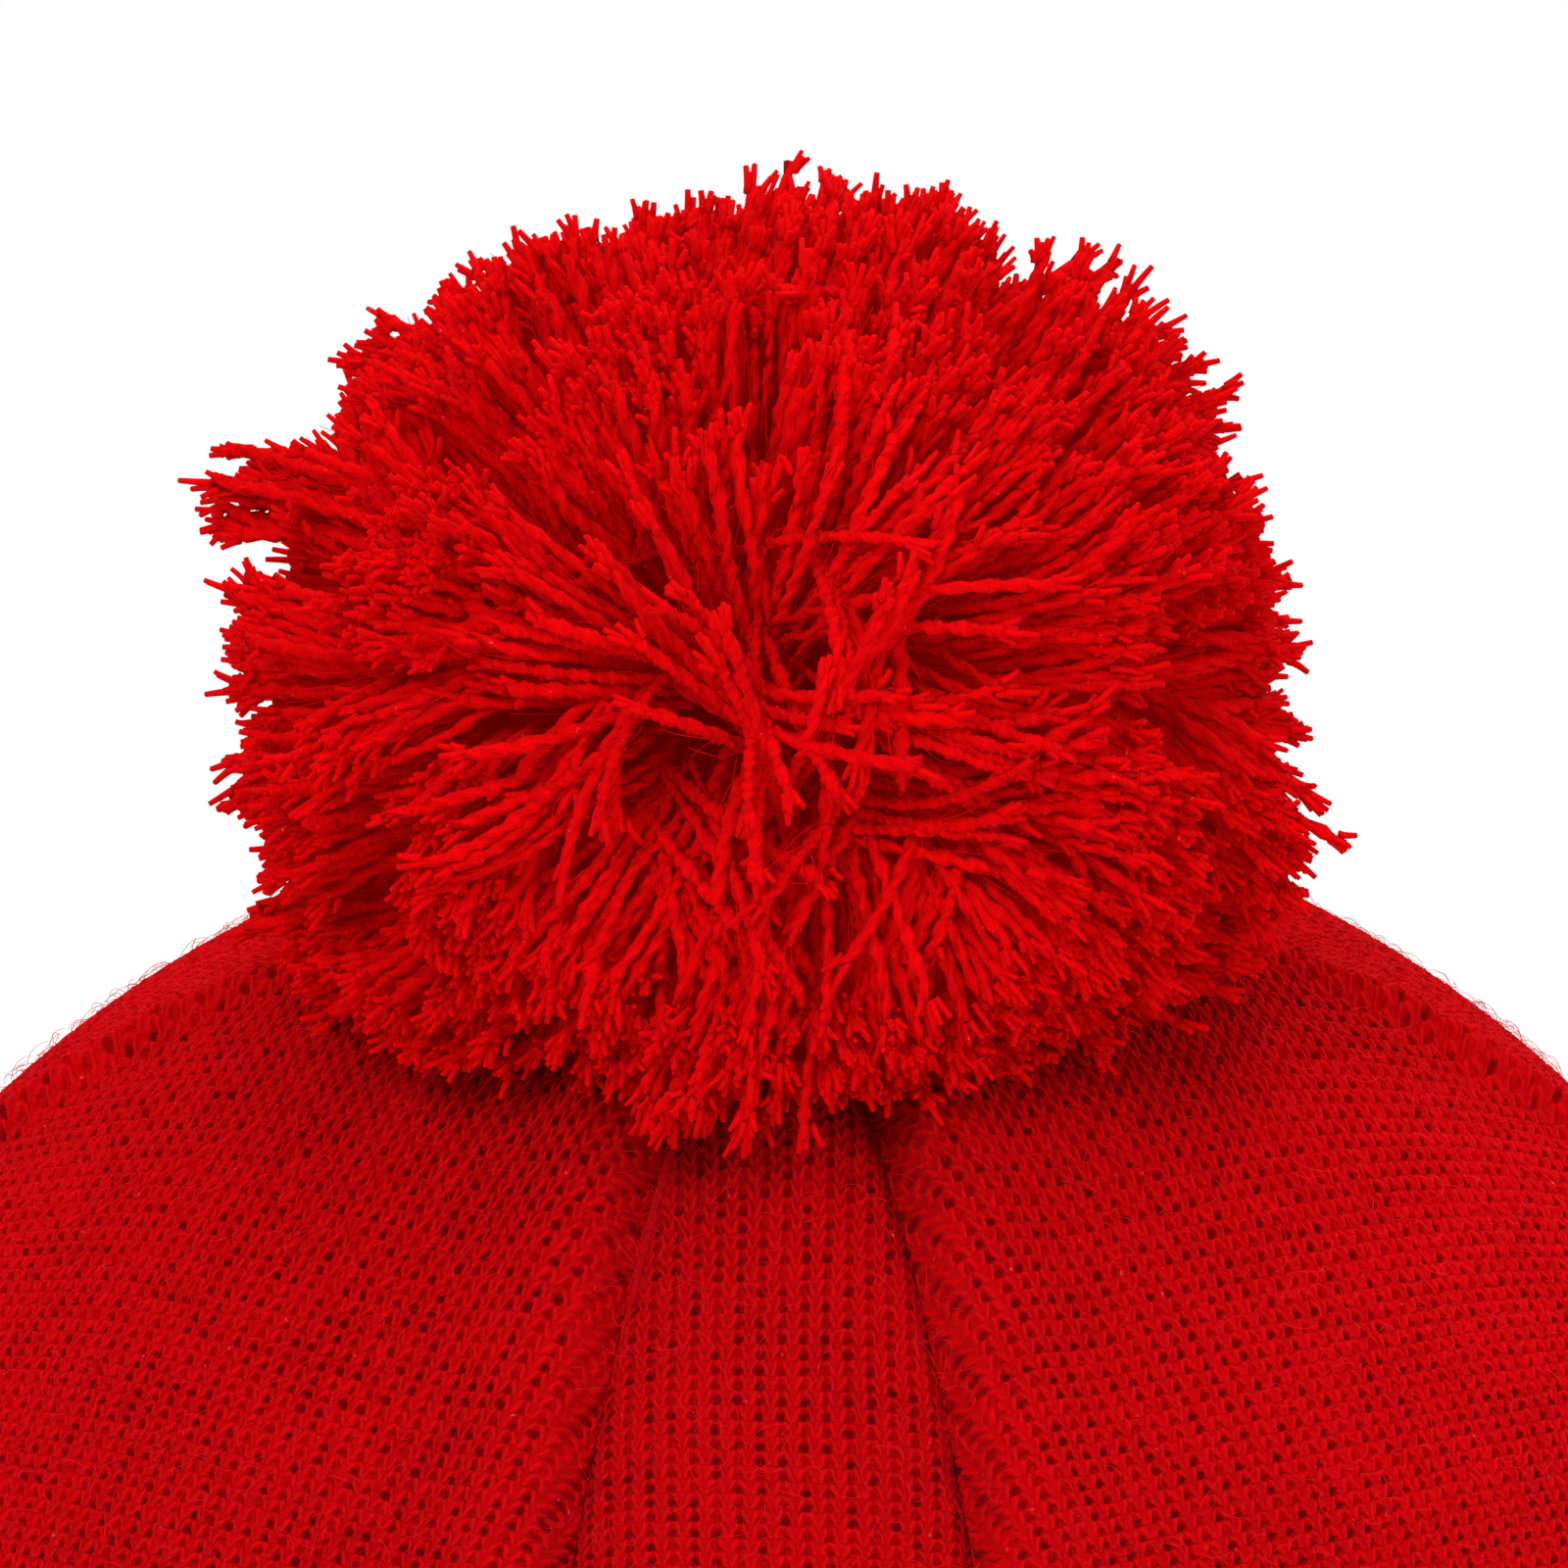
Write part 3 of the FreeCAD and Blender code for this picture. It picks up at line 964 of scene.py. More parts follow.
@dataclass
class Sleeve:
    """A knitted layer that goes all the way round: the cuff or the lining.

    Attributes:
        shape: The hat's sizes.
        knit: The stitches.
        thickness: How thick the cuff's layer is, in millimetres.
        step: How many outer cells one inner cell spans.
    """

    shape: Shape
    knit: Knit
    thickness: float = 1.4
    step: int = 8

    def cuff(self, material: bpy.types.Material) -> Piece:
        """Make the turned-up cuff's outside layer, rolled in at its rim and over its top edge.

        Args:
            material: The knit's material.

        Returns:
            The cuff's object.
        """
        shape = self.shape
        inner = shape.lining_radius
        outer = shape.cuff_radius
        top_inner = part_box("cuff_back")[1][0] / MM - 2.0
        rim = 2.4
        outline = [(inner + 0.1, 2.6), (inner + 0.1, rim), (inner + rim, 0.12), (outer - rim - 0.3, 0.12),
                   (outer - 0.3, rim), (outer + 0.1, 20.0), (outer + 0.5, 44.0),
                   (outer, shape.cuff_height - 2.6),
                   (outer - 0.9, shape.cuff_height - 0.8), (outer - 2.4, shape.cuff_height),
                   (top_inner + 0.9, shape.cuff_height - 0.6), (top_inner + 0.2, shape.cuff_height - 2.6)]
        radii, heights, along = self.rounded(np.array(outline), 0.55)
        cells = int(round(FULL_TURN * outer / Detail.MEDIUM.value / self.step)) * self.step
        azimuth = np.arange(cells)[None, :] * FULL_TURN / cells
        around = round(FULL_TURN * shape.shell_radius / self.knit.column)
        rows = len(radii) // self.step * self.step + 1
        radii, heights, along = (part[:rows, None] for part in (radii, heights, along))
        column = np.broadcast_to(azimuth * around / FULL_TURN, (rows, cells))
        course = np.broadcast_to(along / self.knit.course, (rows, cells))
        sway = waves(azimuth * outer, along, 60.0, 21)
        first = column + 0.12 * waves(azimuth * outer, along, 30.0, 22)
        second = course + 0.3 * sway
        relief = self.knit.height(first, second)
        slope_out = np.gradient(heights[:, 0], along[:, 0])[:, None]
        slope_up = -np.gradient(radii[:, 0], along[:, 0])[:, None]
        free = smoothstep(3.0, 20.0, heights)
        lift = relief - 0.25
        bulge = 0.6 * waves(azimuth * outer, heights, 130.0, 23)
        out = radii + slope_out * lift + free * (0.5 * sway + bulge)
        up = np.maximum(heights + slope_up * lift, 0.02)
        points = np.stack([out * np.sin(azimuth), -out * np.cos(azimuth), up + 0 * azimuth], axis=-1) * MM
        back_out = radii - self.thickness * slope_out
        back_up = heights - self.thickness * slope_up + 0 * azimuth
        back = np.stack([back_out * np.sin(azimuth), -back_out * np.cos(azimuth), back_up], axis=-1) * MM
        stitches = np.stack([first, second], axis=-1)
        piece = slab("knit_cuff_face", points, back[::self.step, ::self.step], stitches, self.step, True)
        return sew_on(piece, material, "cuff_face")

    @staticmethod
    def rounded(corners: Array, spacing: float) -> tuple[Array, Array, Array]:
        """Even points along a smoothed outline.

        Args:
            corners: Radius and height of each corner, in millimetres.
            spacing: Distance between points.

        Returns:
            Radii, heights and distance along the outline.
        """
        smooth = corners
        for _ in range(3):
            cut = np.empty((2 * len(smooth), 2))
            cut[0] = smooth[0]
            cut[-1] = smooth[-1]
            cut[1:-1:2] = 0.75 * smooth[:-1] + 0.25 * smooth[1:]
            cut[2:-1:2] = 0.25 * smooth[:-1] + 0.75 * smooth[1:]
            smooth = cut
        gaps = np.linalg.norm(np.diff(smooth, axis=0), axis=1)
        length = np.concatenate([[0.0], np.cumsum(gaps)])
        even = np.linspace(0.0, length[-1], int(length[-1] / spacing / 8) * 8 + 1)
        return np.interp(even, length, smooth[:, 0]), np.interp(even, length, smooth[:, 1]), even

    def lining(self, material: bpy.types.Material) -> list[Piece]:
        """Make the lining's four panels, which show their stitches on the inside.

        Args:
            material: The knit's material.

        Returns:
            The panels' objects.
        """
        shape = self.shape
        radius = shape.lining_radius
        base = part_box("lining_front")[0][2] / MM + 0.4
        top = shape.dome_height + radius * (math.pi / 2 - shape.hole_radius / radius)
        length = uneven_steps([(base, top, Detail.COARSE.value)], self.step)[:, None]
        half = math.pi / 4
        cells = int(round(2 * half * radius / Detail.COARSE.value / self.step)) * self.step
        turn = np.linspace(-half, half, cells + 1)[None, :]
        turn, length = np.broadcast_arrays(turn, length)
        around, angle = shape.meridian(length, radius)
        across = radius * np.arcsin(np.clip(np.cos(angle) * np.sin(turn), -1.0, 1.0))
        rise = np.arctan2(np.sin(angle), np.cos(angle) * np.cos(turn))
        along = np.where(angle > 0, shape.dome_height + radius * rise, length)
        courses = self.knit.courses(along, shape.dome_height, radius)
        stitches = np.stack([across / self.knit.column, courses], axis=-1)
        edge = (half - np.abs(turn)) * around
        seam = 0.9 * np.exp(-((edge - 1.6) / 1.2) ** 2) - 0.5 * (1.0 - smoothstep(0.0, 0.8, edge))
        panels = []
        for index, place in enumerate(("front", "left", "back", "right")):
            azimuth = index * math.pi / 2 + turn
            sag = 0.15 * waves(radius * azimuth, length, 48.0, 31 + index)
            keep = smoothstep(base, base + 10.0, length) * smoothstep(-0.5, 1.5, edge)
            lift = -(seam + np.abs(sag) * keep + 0.15)
            inner = shape.place(azimuth, length, radius, lift)
            back = shape.place(azimuth, length, radius + 1.8, 0 * lift)[::self.step, ::self.step]
            turned = (inner[:, ::-1], back[:, ::-1], stitches[:, ::-1])
            piece = slab(f"knit_lining_{place}", *turned, self.step, False)
            panels.append(sew_on(piece, material, f"lining_{place}"))
        return panels


@dataclass
class KnitFuzz:
    """Fine fibres that stand up from the crown's knit.

    Attributes:
        crown: The crown that they grow on.
        material: The fibres' material.
        count: How many there are.
    """

    crown: Crown
    material: bpy.types.Material
    count: int = 15000
    rings: int = 6
    seed: int = 19

    def build(self) -> Piece:
        """Make the fibres.

        Returns:
            Their object.
        """
        random = np.random.default_rng(self.seed)
        shape = self.crown.shape
        top = shape.dome_height + shape.shell_radius * math.radians(80)
        share = np.arcsin(random.uniform(0.0, 1.0, (self.count, 1)))
        length = shape.cuff_height + 4.0 + (top - shape.cuff_height - 4.0) * share / (math.pi / 2)
        azimuth = random.uniform(-math.pi, math.pi, (self.count, 1))
        s = np.linspace(0.0, 1.0, self.rings)[None, :]
        heading = random.uniform(0.0, FULL_TURN, (self.count, 1))
        heading = heading + random.normal(0.0, 1.0, (self.count, 1)) * s
        size = random.uniform(1.0, 3.0, (self.count, 1)) * s
        around = np.maximum(shape.meridian(length, shape.shell_radius)[0], 12.0)
        azimuth = azimuth + size * np.cos(heading) / around
        length = length + size * np.sin(heading)
        rise = random.uniform(0.1, 0.7, (self.count, 1)) * np.sin(s * math.pi * 0.8)
        lift = self.crown.swell(azimuth, length) + rise - 0.1
        path = shape.place(azimuth, length, shape.shell_radius, lift)
        radius = np.broadcast_to(np.linspace(0.03, 0.02, self.rings)[None, :], (self.count, self.rings)) * MM
        twist = np.zeros((self.count, self.rings))
        piece = tubes("crown_fuzz", path, radius, twist, 0.0, 3, random.random(self.count) * 0.3, 0.8)
        return sew_on(piece, self.material)


# ---------------------------------------------------------------- the pom pom


@dataclass
class PomPom:
    """Cut lengths of two-ply yarn, tied in the middle and fluffed into a ball.

    Attributes:
        shape: The hat's sizes.
        material: The yarn's material.
        strands: How many lengths of yarn there are.
        tufts: How many tufts they gather into.
        strand_radius: Radius of a length of yarn, in millimetres.
        ply_pitch: Length of one turn of its two plies.
        parting_spread: How far the yarn falls open around the parting.
        clearance: How far the middle of a strand stays from the plain dome.
        fibre_slack: How much nearer a single fibre may lie.
        root: Distance from the tie's middle at which the strands start.
        rings: Points along a strand.
        sides: Corners of a strand's section.
        seed: Start of the random numbers.
    """

    shape: Shape
    material: bpy.types.Material
    strands: int = 5000
    tufts: int = 420
    strand_radius: float = 0.67
    ply_pitch: float = 5.2
    parting_spread: float = 0.62
    clearance: float = 3.9
    fibre_slack: float = 0.4
    root: float = 6.0
    rings: int = 24
    sides: int = 8
    seed: int = 7
    core: Array = field(init=False)
    pivot: Array = field(init=False)
    reach: float = field(init=False)
    parting: Array = field(init=False)

    def __post_init__(self) -> None:
        """Read the ball's place from the frame."""
        low, high = (np.array(corner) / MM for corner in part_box("tie_ring"))
        self.core = (low + high) / 2 + np.array([-0.8, 0.0, 0.0])
        self.pivot = np.array([0.0, 0.0, self.shape.crown_top])
        self.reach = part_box("pom_yarn_upper")[1][0] / MM
        tilt = math.radians(14.0)
        self.parting = np.array([0.02, -math.cos(tilt), math.sin(tilt)])

    @property
    def nearest(self) -> float:
        """How near to the crown's centre a strand's middle may come."""
        return self.shape.shell_radius + self.clearance

    def directions(self, random: Random) -> tuple[Array, Array]:
        """Where the strands' tips point from the core, and the tuft that each belongs to.

        Args:
            random: Source of random numbers.

        Returns:
            Unit vectors, and tuft numbers.
        """
        number = np.arange(self.strands) + 0.5
        up = 1.0 - 2.0 * number / self.strands
        turn = number * math.pi * (3.0 - math.sqrt(5.0))
        level = np.sqrt(1.0 - up * up)
        way = np.stack([level * np.cos(turn), level * np.sin(turn), up], axis=1)
        way += random.normal(0.0, 0.03, way.shape)
        centres = way[random.choice(self.strands, self.tufts, replace=False)]
        tuft = np.argmax(way @ centres.T, axis=1)
        pull = random.uniform(0.1, 0.7, (self.tufts, 1))[tuft] * random.uniform(0.6, 1.0, (self.strands, 1))
        way = way * (1.0 - pull) + centres[tuft] * pull
        return way / np.linalg.norm(way, axis=1, keepdims=True), tuft

    def paths(self, way: Array, tuft: Array, random: Random) -> Array:
        """Route of every strand from the core to its tip.

        Args:
            way: Where the tips point.
            tuft: Each strand's tuft.
            random: Source of random numbers.

        Returns:
            Points in millimetres, strands by rings by 3.
        """
        count = len(way)
        s = np.linspace(0.0, 1.0, self.rings)[None, :, None]
        axis = self.parting
        cosine = way @ axis
        angle = np.arccos(np.clip(cosine, -1.0, 1.0))[:, None, None]
        side = way - cosine[:, None] * axis
        side /= np.linalg.norm(side, axis=1, keepdims=True) + 1e-9
        open_front = 1.0 - smoothstep(1.2, 2.4, angle)
        tuft_lean = random.uniform(0.45, 1.25, (self.tufts, 1, 1))[tuft]
        lean = self.parting_spread * open_front * tuft_lean * random.uniform(0.85, 1.1, (count, 1, 1))
        bent = angle * (1.0 - np.minimum(lean, 0.9) * (1.0 - s) ** 1.3)
        bent = bent + 0.55 * open_front * s ** 1.5 * np.exp(-((angle - 0.1) / 0.5) ** 2)
        lower = np.clip(-way[:, None, 2:3], 0.0, 1.0)
        trim = self.reach * (0.875 + 0.07 * lower) * random.normal(1.0, 0.025, (count, 1, 1))
        trim = trim * random.normal(1.0, 0.02, (self.tufts, 1, 1))[tuft]
        strays = random.random((count, 1, 1)) < 0.012
        trim = np.where(strays, trim * random.uniform(1.03, 1.10, (count, 1, 1)), trim)
        radius = self.root + (trim - self.root) * s
        points = radius * (np.cos(bent) * axis + np.sin(bent) * side[:, None, :])
        tuft_sway = random.normal(0.0, 1.0, (self.tufts, 1, 3))[tuft]
        tuft_bend = random.normal(0.0, 1.0, (self.tufts, 1, 3))[tuft]
        own_sway = random.normal(0.0, 1.0, (count, 1, 3))
        own_bend = random.normal(0.0, 1.0, (count, 1, 3))
        points = points + (1.6 * tuft_sway + 1.0 * own_sway) * s ** 1.5
        points = points + (1.5 * tuft_bend + 0.55 * own_bend) * np.sin(s * math.pi)
        points = points + 0.3 * own_bend * np.sin(s * 14.0 + own_sway[:, :, :1] * 3.0)
        along = np.array([1.0, 0.0, 0.0])
        points = points + along * (way[:, None, :1] * 9.0 - 3.0) * (1.0 - s) * open_front
        points = self.core + points * np.array([1.05, 1.0, 1.0])
        points[:, :, 2] -= 2.0 * s[:, :, 0] ** 2
        return self.rest_on_crown(points, random)

    def loose(self, random: Random) -> Array:
        """Routes of strands that have slipped across the parting, singly and in little sheaves.

        Args:
            random: Source of random numbers.

        Returns:
            Points in millimetres, strands by rings by 3.
        """
        s = np.linspace(0.0, 1.0, self.rings)[None, :, None]
        axis = self.parting
        right = np.array([1.0, 0.0, 0.0])
        above = np.cross(right, axis)
        above = above if above[2] > 0 else -above
        routes = []
        for start, turn, sheaf in self.sheaves(random):
            count = sheaf
            heading = math.radians(turn) + random.normal(0.0, 0.10, (count, 1, 1))
            first = np.array(start)[None, :] + random.normal(0.0, 0.25 + 0.10 * count, (count, 2))
            length = random.uniform(15.0, 25.0, (count, 1, 1))
            curve = random.normal(0.0, 0.25) + random.normal(0.0, 0.08, (count, 1, 1))
            across = first[:, None, :1] + length * s * np.cos(heading + curve * s)
            upward = first[:, None, 1:] + length * s * np.sin(heading + curve * s)
            depth = random.uniform(-2.5, 1.0, (count, 1, 1))
            flat = np.sqrt(across ** 2 + upward ** 2)
            held = np.minimum(1.0, 0.72 * self.reach / (flat + 1e-9))
            across, upward, flat = across * held, upward * held, flat * held
            out = np.sqrt(np.maximum((self.reach * 0.86) ** 2 - flat ** 2, 60.0)) + depth
            out = out - 13.0 * (1.0 - s) ** 1.6
            routes.append(self.core + across * right + upward * above + out * axis)
        points = np.concatenate(routes)
        return self.rest_on_crown(points, random)

    @staticmethod
    def sheaves(random: Random) -> list[tuple[tuple[float, float], float, int]]:
        """Where the loose strands start, which way they run in degrees, and how many lie together."""
        placed = [((5.0, 3.0), -38.0, 16), ((12.0, -2.0), -78.0, 13), ((-3.0, 1.0), 172.0, 9),
                  ((-4.0, 5.0), 205.0, 8), ((-10.0, 3.0), -20.0, 6), ((2.0, -5.0), -30.0, 10),
                  ((-12.0, -4.0), -60.0, 9), ((4.0, 9.0), 80.0, 8), ((9.0, 6.0), -5.0, 9)]
        for _ in range(34):
            start = tuple(random.normal(0.0, 7.0, 2))
            placed.append((start, float(random.uniform(0.0, 360.0)), int(random.integers(1, 4))))
        return placed

    def rest_on_crown(self, points: Array, random: Random) -> Array:
        """Lift whatever would lie inside the crown on to it, in loose layers.

        Args:
            points: Routes of the strands, in millimetres.
            random: Source of random numbers.

        Returns:
            The corrected routes.
        """
        centre = self.shape.centre
        away = points - centre
        far = np.linalg.norm(away, axis=2, keepdims=True)
        layer = random.uniform(0.0, 1.0, (len(points), 1, 1)) ** 1.6 * 7.0
        floor = self.nearest + layer
        depth = np.maximum(floor - far, 0.0)
        lifted = centre + away / far * (far + depth)
        slide = depth * 0.35
        flat = lifted[:, :, :2] / (np.linalg.norm(lifted[:, :, :2], axis=2, keepdims=True) + 1e-9)
        lifted[:, :, :2] += flat * slide
        return held_off(lifted, centre, self.nearest)

    def build(self) -> list[Piece]:
        """Make the strands, in pieces by where they are, and the frayed tips.

        Returns:
            The pieces.
        """
        random = np.random.default_rng(self.seed)
        way, tuft = self.directions(random)
        paths = self.paths(way, tuft, random)
        paths = np.concatenate([paths, self.loose(random)])
        way = paths[:, -1] - self.core
        way /= np.linalg.norm(way, axis=1, keepdims=True)
        marks = random.random(len(paths))
        sector = np.floor((np.arctan2(way[:, 0], -way[:, 1]) + math.pi) / FULL_TURN * 5.999).astype(int)
        sector = np.where(way[:, 2] > 0.75, 6, sector)
        pieces = []
        for number in range(7):
            chosen = np.flatnonzero(sector == number)
            piece = self.strand_piece(f"pom_strands_{number}", paths[chosen], marks[chosen], random)
            pieces.append(piece)
            pieces.append(self.tip_piece(f"pom_tips_{number}", paths[chosen], marks[chosen], random))
        pieces.append(self.hair_piece("pom_hairs", paths, random))
        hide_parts("pom_yarn_upper", "pom_yarn_lower")
        for piece in pieces:
            piece.data.materials.append(self.material)
            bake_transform(piece)
        return pieces

    def strand_piece(self, name: str, paths: Array, marks: Array, random: Random) -> Piece:
        """One piece of two-ply strands.

        Args:
            name: The piece's name.
            paths: Its strands' routes, in millimetres.
            marks: Each strand's shade.
            random: Source of random numbers.

        Returns:
            The piece.
        """
        count = len(paths)
        s = np.linspace(0.0, 1.0, self.rings)[None, :]
        radius = self.strand_radius * random.uniform(0.82, 1.18, (count, 1))
        radius = radius * (0.62 + 0.38 * smoothstep(0.0, 0.35, s)) * (1.0 - 0.12 * smoothstep(0.93, 1.0, s))
        length = np.linalg.norm(np.diff(paths, axis=1), axis=2).sum(axis=1)[:, None]
        twist = s * length / self.ply_pitch * FULL_TURN + random.uniform(0, FULL_TURN, (count, 1))
        return tubes(name, paths * MM, radius * MM, twist, 0.42, self.sides, marks)

    def hair_piece(self, name: str, paths: Array, random: Random) -> Piece:
        """Single fibres that have worked loose along the strands.

        Args:
            name: The piece's name.
            paths: Every strand's route, in millimetres.
            random: Source of random numbers.

        Returns:
            The piece.
        """
        rings = 7
        count = 2 * len(paths)
        strand = random.integers(0, len(paths), count)
        first = random.integers(self.rings // 3, self.rings - rings, count)
        path = paths[strand[:, None], first[:, None] + np.arange(rings)[None, :]]
        s = np.linspace(0.0, 1.0, rings)[None, :, None]
        drift = random.normal(0.0, 1.0, (count, 1, 3))
        start = drift / (np.linalg.norm(drift, axis=2, keepdims=True) + 1e-9) * self.strand_radius
        curl = random.normal(0.0, 0.7, (count, 1, 3))
        path = path + start + drift * 0.7 * s ** 2 + curl * np.sin(s * math.pi)
        path = held_off(path, self.shape.centre, self.nearest - self.fibre_slack)
        radius = np.broadcast_to(np.linspace(0.055, 0.03, rings)[None, :], (count, rings))
        marks = random.random(count) * 0.3
        return tubes(name, path * MM, radius * MM, np.zeros((count, rings)), 0.0, 3, marks, 0.8)

    def tip_piece(self, name: str, paths: Array, marks: Array, random: Random) -> Piece:
        """The loose fibres at the ends of some strands.

        Args:
            name: The piece's name.
            paths: The strands' routes, in millimetres.
            marks: Each strand's shade.
            random: Source of random numbers.

        Returns:
            The piece.
        """
        fibres = 6
        rings = 4
        end = np.repeat(paths[:, -1], fibres, axis=0)
        before = np.repeat(paths[:, -3], fibres, axis=0)
        ahead = end - before
        ahead /= np.linalg.norm(ahead, axis=1, keepdims=True)
        count = len(end)
        spread = random.normal(0.0, 1.0, (count, 3))
        start = end - ahead * 0.9 + spread * 0.27
        length = random.uniform(1.0, 1.9, (count, 1))
        s = np.linspace(0.0, 1.0, rings)[None, :, None]
        curl = spread[:, None, :] * 0.35 * s ** 1.4
        path = start[:, None, :] + ahead[:, None, :] * length[:, None, :] * s + curl
        path = held_off(path, self.shape.centre, self.nearest - self.fibre_slack)
        radius = np.broadcast_to(np.linspace(0.33, 0.22, rings)[None, :], (count, rings))
        shades = np.repeat(marks, fibres) * 0.6
        return tubes(name, path * MM, radius * MM, np.zeros((count, rings)), 0.0, 4, shades, 0.9)


# ---------------------------------------------------------------- studio


def seen_directly(make: GroupMaker) -> Socket:
    """Mask that is 1 for rays from the camera, mirrors and glass.

    Args:
        make: The maker of the tree that it goes in.

    Returns:
        The mask.
    """
    rays = make.node("ShaderNodeLightPath")
    seen = make.math("MAXIMUM", rays.outputs["Is Camera Ray"], rays.outputs["Is Glossy Ray"])
    return make.math("MAXIMUM", seen, rays.outputs["Is Transmission Ray"])


@dataclass
class Studio:
    """Camera, lights, floor and backdrop.

    Attributes:
        distance: From the camera to its aim point, in metres.
        view_width: Width of the view at the aim point.
        elevation: How far the camera looks down, in degrees.
        aim_side: How far the aim point is to the side of the dome's centre.
        aim_rise: How far it is above the centre, square to the view.
    """

    distance: float = 1.10
    view_width: float = 0.1244
    elevation: float = 20.0
    aim_side: float = 0.0008
    aim_rise: float = 0.0935

    def build(self, shape: Shape) -> None:
        """Make everything.

        Args:
            shape: The hat's sizes.
        """
        self.camera(shape)
        self.floor()
        self.world()
        self.lamp("key", (-0.45, -0.75, 1.05), 0.6, 8.5, shape)
        self.lamp("fill", (0.75, -0.60, 0.55), 0.8, 3.0, shape)
        self.lamp("back", (0.35, 0.95, 0.70), 0.7, 4.0, shape)
        self.lamp("top", (0.05, 0.35, 1.15), 0.6, 6.0, shape)

    def camera(self, shape: Shape) -> None:
        """Add the camera.

        Args:
            shape: The hat's sizes.
        """
        data = bpy.data.cameras.new("camera")
        data.sensor_width = 36.0
        data.lens = 36.0 * self.distance / self.view_width
        data.clip_start = 0.05
        data.clip_end = 50.0
        turn = math.radians(self.elevation)
        up = Vector((0.0, math.sin(turn), math.cos(turn)))
        aim = Vector((self.aim_side, 0.0, shape.dome_height * MM)) + up * self.aim_rise
        place = aim + Vector((0.0, -math.cos(turn), math.sin(turn))) * self.distance
        camera = bpy.data.objects.new("camera", data)
        camera.location = place
        camera.rotation_euler = (aim - place).to_track_quat("-Z", "Y").to_euler()
        bpy.context.collection.objects.link(camera)
        bpy.context.scene.camera = camera

    def lamp(self, name: str, place: tuple[float, float, float], size: float, power: float,
             shape: Shape) -> None:
        """Add one soft lamp that looks at the crown.

        Args:
            name: The lamp's name.
            place: Where it is, in metres.
            size: Its width.
            power: Its strength in watts.
            shape: The hat's sizes.
        """
        data = bpy.data.lights.new(name, "AREA")
        data.size = size
        data.energy = power
        lamp = bpy.data.objects.new(name, data)
        lamp.location = place
        aim = Vector((0.0, 0.0, shape.dome_height * MM))
        lamp.rotation_euler = (aim - Vector(place)).to_track_quat("-Z", "Y").to_euler()
        bpy.context.collection.objects.link(lamp)

    def floor(self) -> None:
        """Add a pale round floor that fades to pure white away from the hat."""
        rings = 40
        angle = np.arange(96) * FULL_TURN / 96
        radius = np.linspace(0.0, 1.0, rings)[1:] ** 1.6 * 6.0
        points = [np.zeros((1, 3))]
        for size in radius:
            points.append(np.stack([size * np.cos(angle), size * np.sin(angle), 0 * angle], axis=1))
        points = np.concatenate(points)
        quads = grid_faces(len(radius), 96, True, 1, False)
        hub = np.stack([np.zeros(96, dtype=int), 1 + np.arange(96), 1 + (np.arange(96) + 1) % 96], axis=1)
        loops = np.concatenate([hub.ravel(), quads[:, ::-1].ravel()])
        sizes = np.concatenate([np.full(96, 3), np.full(len(quads), 4)])
        floor = make_mesh("floor", points, loops, sizes, {})
        material = bpy.data.materials.new("pale_floor")
        material.use_nodes = True
        make = GroupMaker(material.node_tree)
        shader = material.node_tree.nodes["Principled BSDF"]
        shader.inputs["Base Color"].default_value = (0.86, 0.86, 0.86, 1.0)
        shader.inputs["Roughness"].default_value = 0.9
        spot = make.node("ShaderNodeTexCoord")
        far = make.node("ShaderNodeVectorMath", operation="LENGTH")
        make.feed(far.inputs[0], spot.outputs["Object"])
        seen = seen_directly(make)
        share = make.math("MULTIPLY", seen, make.remap(far.outputs["Value"], 0.16, 0.50))
        glow = make.node("ShaderNodeEmission")
        mixer = make.node("ShaderNodeMixShader")
        make.feed(mixer.inputs[0], share)
        make.feed(mixer.inputs[1], shader.outputs[0])
        make.feed(mixer.inputs[2], glow.outputs[0])
        make.feed(material.node_tree.nodes["Material Output"].inputs[0], mixer.outputs[0])
        floor.data.materials.append(material)

    def world(self) -> None:
        """Light the scene softly from all round, and show white behind it."""
        world = bpy.data.worlds.new("studio")
        bpy.context.scene.world = world
        world.use_nodes = True
        make = GroupMaker(world.node_tree)
        soft = world.node_tree.nodes["Background"]
        soft.inputs["Color"].default_value = (1.0, 1.0, 1.0, 1.0)
        soft.inputs["Strength"].default_value = 0.75
        white = make.node("ShaderNodeBackground")
        white.inputs["Color"].default_value = (1.0, 1.0, 1.0, 1.0)
        white.inputs["Strength"].default_value = 1.0
        seen = seen_directly(make)
        mixer = make.node("ShaderNodeMixShader")
        make.feed(mixer.inputs[0], seen)
        make.feed(mixer.inputs[1], soft.outputs[0])
        make.feed(mixer.inputs[2], white.outputs[0])
        make.feed(world.node_tree.nodes["World Output"].inputs[0], mixer.outputs[0])


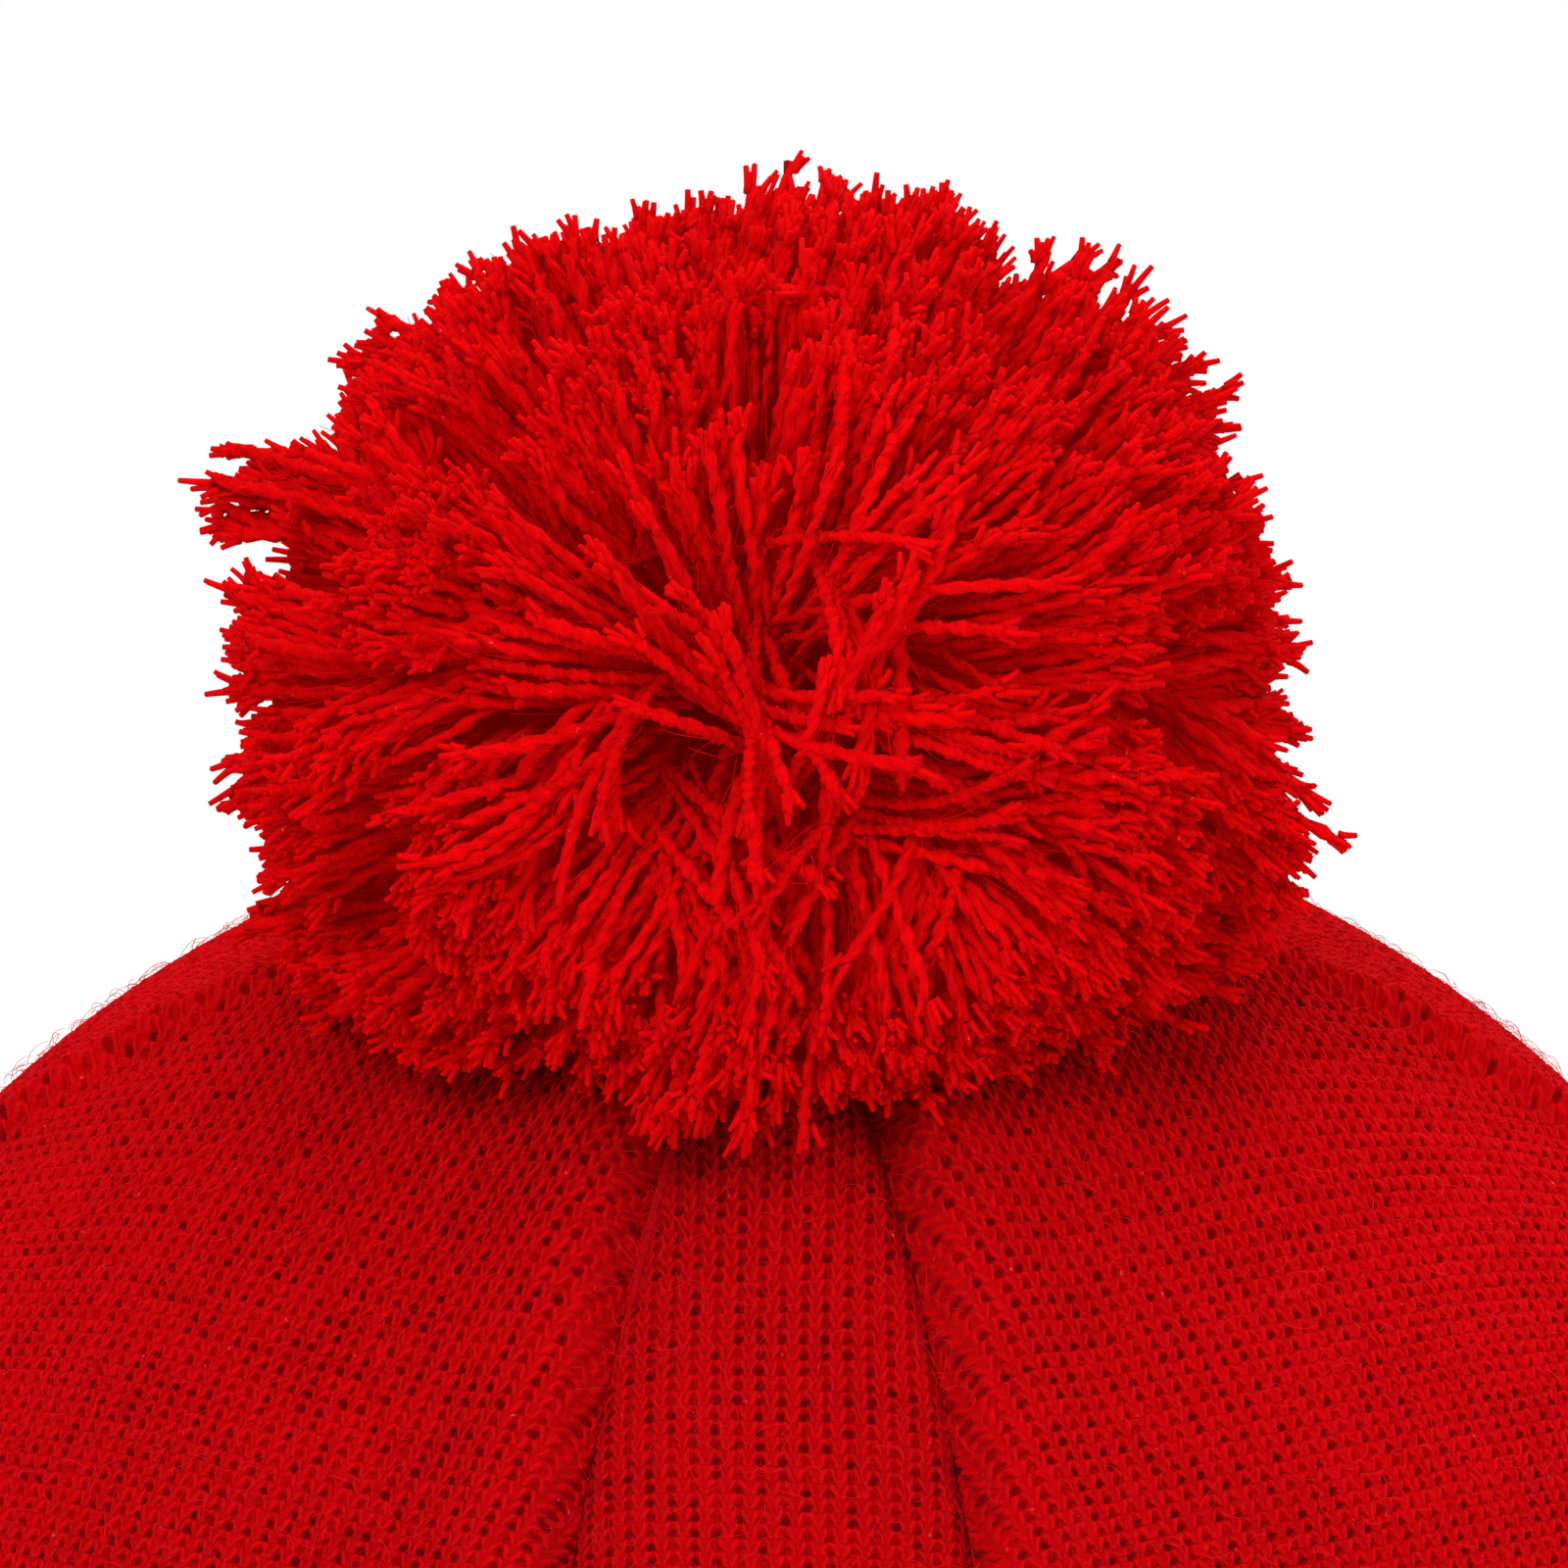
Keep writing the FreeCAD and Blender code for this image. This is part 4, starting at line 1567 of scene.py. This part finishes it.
@dataclass
class Label:
    """The blank care label inside the back: a limp woven tape with raised selvedges and a row of stitches."""

    material: bpy.types.Material
    spacing: float = 0.4
    step: int = 4

    def build(self) -> Piece:
        """Make the tape.

        Returns:
            Its object.
        """
        low, high = (np.array(corner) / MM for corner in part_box("care_label"))
        width, height = high[0] - low[0], high[2] - low[2]
        columns = int(width / self.spacing / self.step) * self.step + 1
        rows = int(height / self.spacing / self.step) * self.step + 1
        across = np.linspace(low[0], high[0], columns)[None, :]
        upward = np.linspace(low[2], high[2], rows)[:, None]
        across, upward = np.broadcast_arrays(across, upward)
        edge = np.minimum(across - low[0], high[0] - across)
        selvedge = 0.10 * (1.0 - smoothstep(0.4, 1.2, edge))
        curl = 0.9 * smoothstep(high[2] - 12.0, low[2], upward) * (0.6 + 0.4 * np.cos(across / 7.0))
        curl = curl * (1.0 - upward / high[2]) * 2.0
        weave = 0.03 * np.sin(across * 9.0) * np.sin(upward * 9.0)
        face = low[1] - selvedge - np.maximum(curl, 0.0) - weave
        seen = np.stack([across, face, upward], axis=-1) * MM
        back = np.stack([across, face + 0.35, upward], axis=-1)[::self.step, ::self.step] * MM
        flat = np.stack([across, upward], axis=-1)
        piece = slab("woven_label", seen, back, flat, self.step, False)
        return sew_on(piece, self.material, "care_label")


@dataclass
class CarriedOver:
    """The small pieces that keep their modelled solids, with better materials."""

    thread: bpy.types.Material
    knit: bpy.types.Material
    label: bpy.types.Material

    def dress(self) -> list[str]:
        """Give each node's object its material.

        Returns:
            The nodes' names.
        """
        dressed = []
        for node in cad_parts:
            material = self.material_for(node)
            piece = bpy.data.objects.get(node)
            if material is None or piece is None:
                continue
            piece.data.materials.clear()
            piece.data.materials.append(material)
            dressed.append(node)
        return dressed

    def material_for(self, node: str) -> bpy.types.Material | None:
        """The finish of one node, or None for a node that another piece replaces."""
        if "thread" in node and node != "label_thread":
            return self.thread
        if node in ("anchor_knot", "anchor_cord", "tie_knot", "tie_cord", "tie_ring", "pom_yarn_neck"):
            return self.thread
        if node == "cuff_back":
            return self.knit
        if node == "label_thread":
            return self.label
        return None


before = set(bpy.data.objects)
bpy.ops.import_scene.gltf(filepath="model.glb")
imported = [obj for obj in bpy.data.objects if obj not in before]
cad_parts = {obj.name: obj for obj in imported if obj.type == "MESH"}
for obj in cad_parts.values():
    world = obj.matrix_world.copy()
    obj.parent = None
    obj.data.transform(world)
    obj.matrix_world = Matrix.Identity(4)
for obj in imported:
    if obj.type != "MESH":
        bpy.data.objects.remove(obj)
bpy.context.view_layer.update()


def main() -> None:
    """Build the beanie's pieces in order."""
    logging.basicConfig(level=logging.INFO, format="%(message)s")
    bpy.context.scene.view_settings.view_transform = "Standard"
    shape = Shape()
    Studio().build(shape)
    groups = Groups(stitch_group(), fibre_group())
    knit = Knit()
    red = (0.50, 0.0005, 0.002, 1.0)
    # deep is the colour of the painted shade between the stitches and at the yarn's roots; darker random tone
    # also mixes towards it.
    deep = (0.16, 0.0, 0.001, 1.0)
    shell = KnitFinish("shell_knit", red, deep).material(groups)
    cuff = KnitFinish("cuff_knit", red, deep).material(groups)
    lining = KnitFinish("lining_knit", (0.60, 0.004, 0.008, 1.0), deep).material(groups)
    # The pom yarn's second colour is that of its painted shade at the strands' roots and of darker strands.
    yarn = YarnFinish("pom_yarn", (0.66, 0.0005, 0.0015, 1.0), (0.22, 0.0, 0.001, 1.0)).material(groups)
    fuzz = YarnFinish("shell_fuzz", (0.66, 0.004, 0.01, 1.0), red, 900.0, sheen=0.2).material(groups)
    thread = YarnFinish("seam_thread", (0.62, 0.004, 0.008, 1.0), deep).material(groups)
    tape = YarnFinish("label_tape", (0.80, 0.78, 0.74, 1.0), (0.66, 0.64, 0.60, 1.0), 1800.0).material(groups)
    crown = Crown(shape, knit, shell)
    for piece in crown.build():
        log.info("crown piece %s: %d faces", piece.name, len(piece.data.polygons))
    log.info("fibres on the crown: %s", KnitFuzz(crown, fuzz).build().name)
    sleeve = Sleeve(shape, knit)
    log.info("cuff piece %s", sleeve.cuff(cuff).name)
    for piece in sleeve.lining(lining):
        log.info("lining piece %s", piece.name)
    for piece in PomPom(shape, yarn).build():
        log.info("pom pom piece %s: %d faces", piece.name, len(piece.data.polygons))
    log.info("label piece %s", Label(tape).build().name)
    log.info("carried over: %s", ", ".join(CarriedOver(thread, cuff, tape).dress()))


if __name__ == "__main__":
    main()
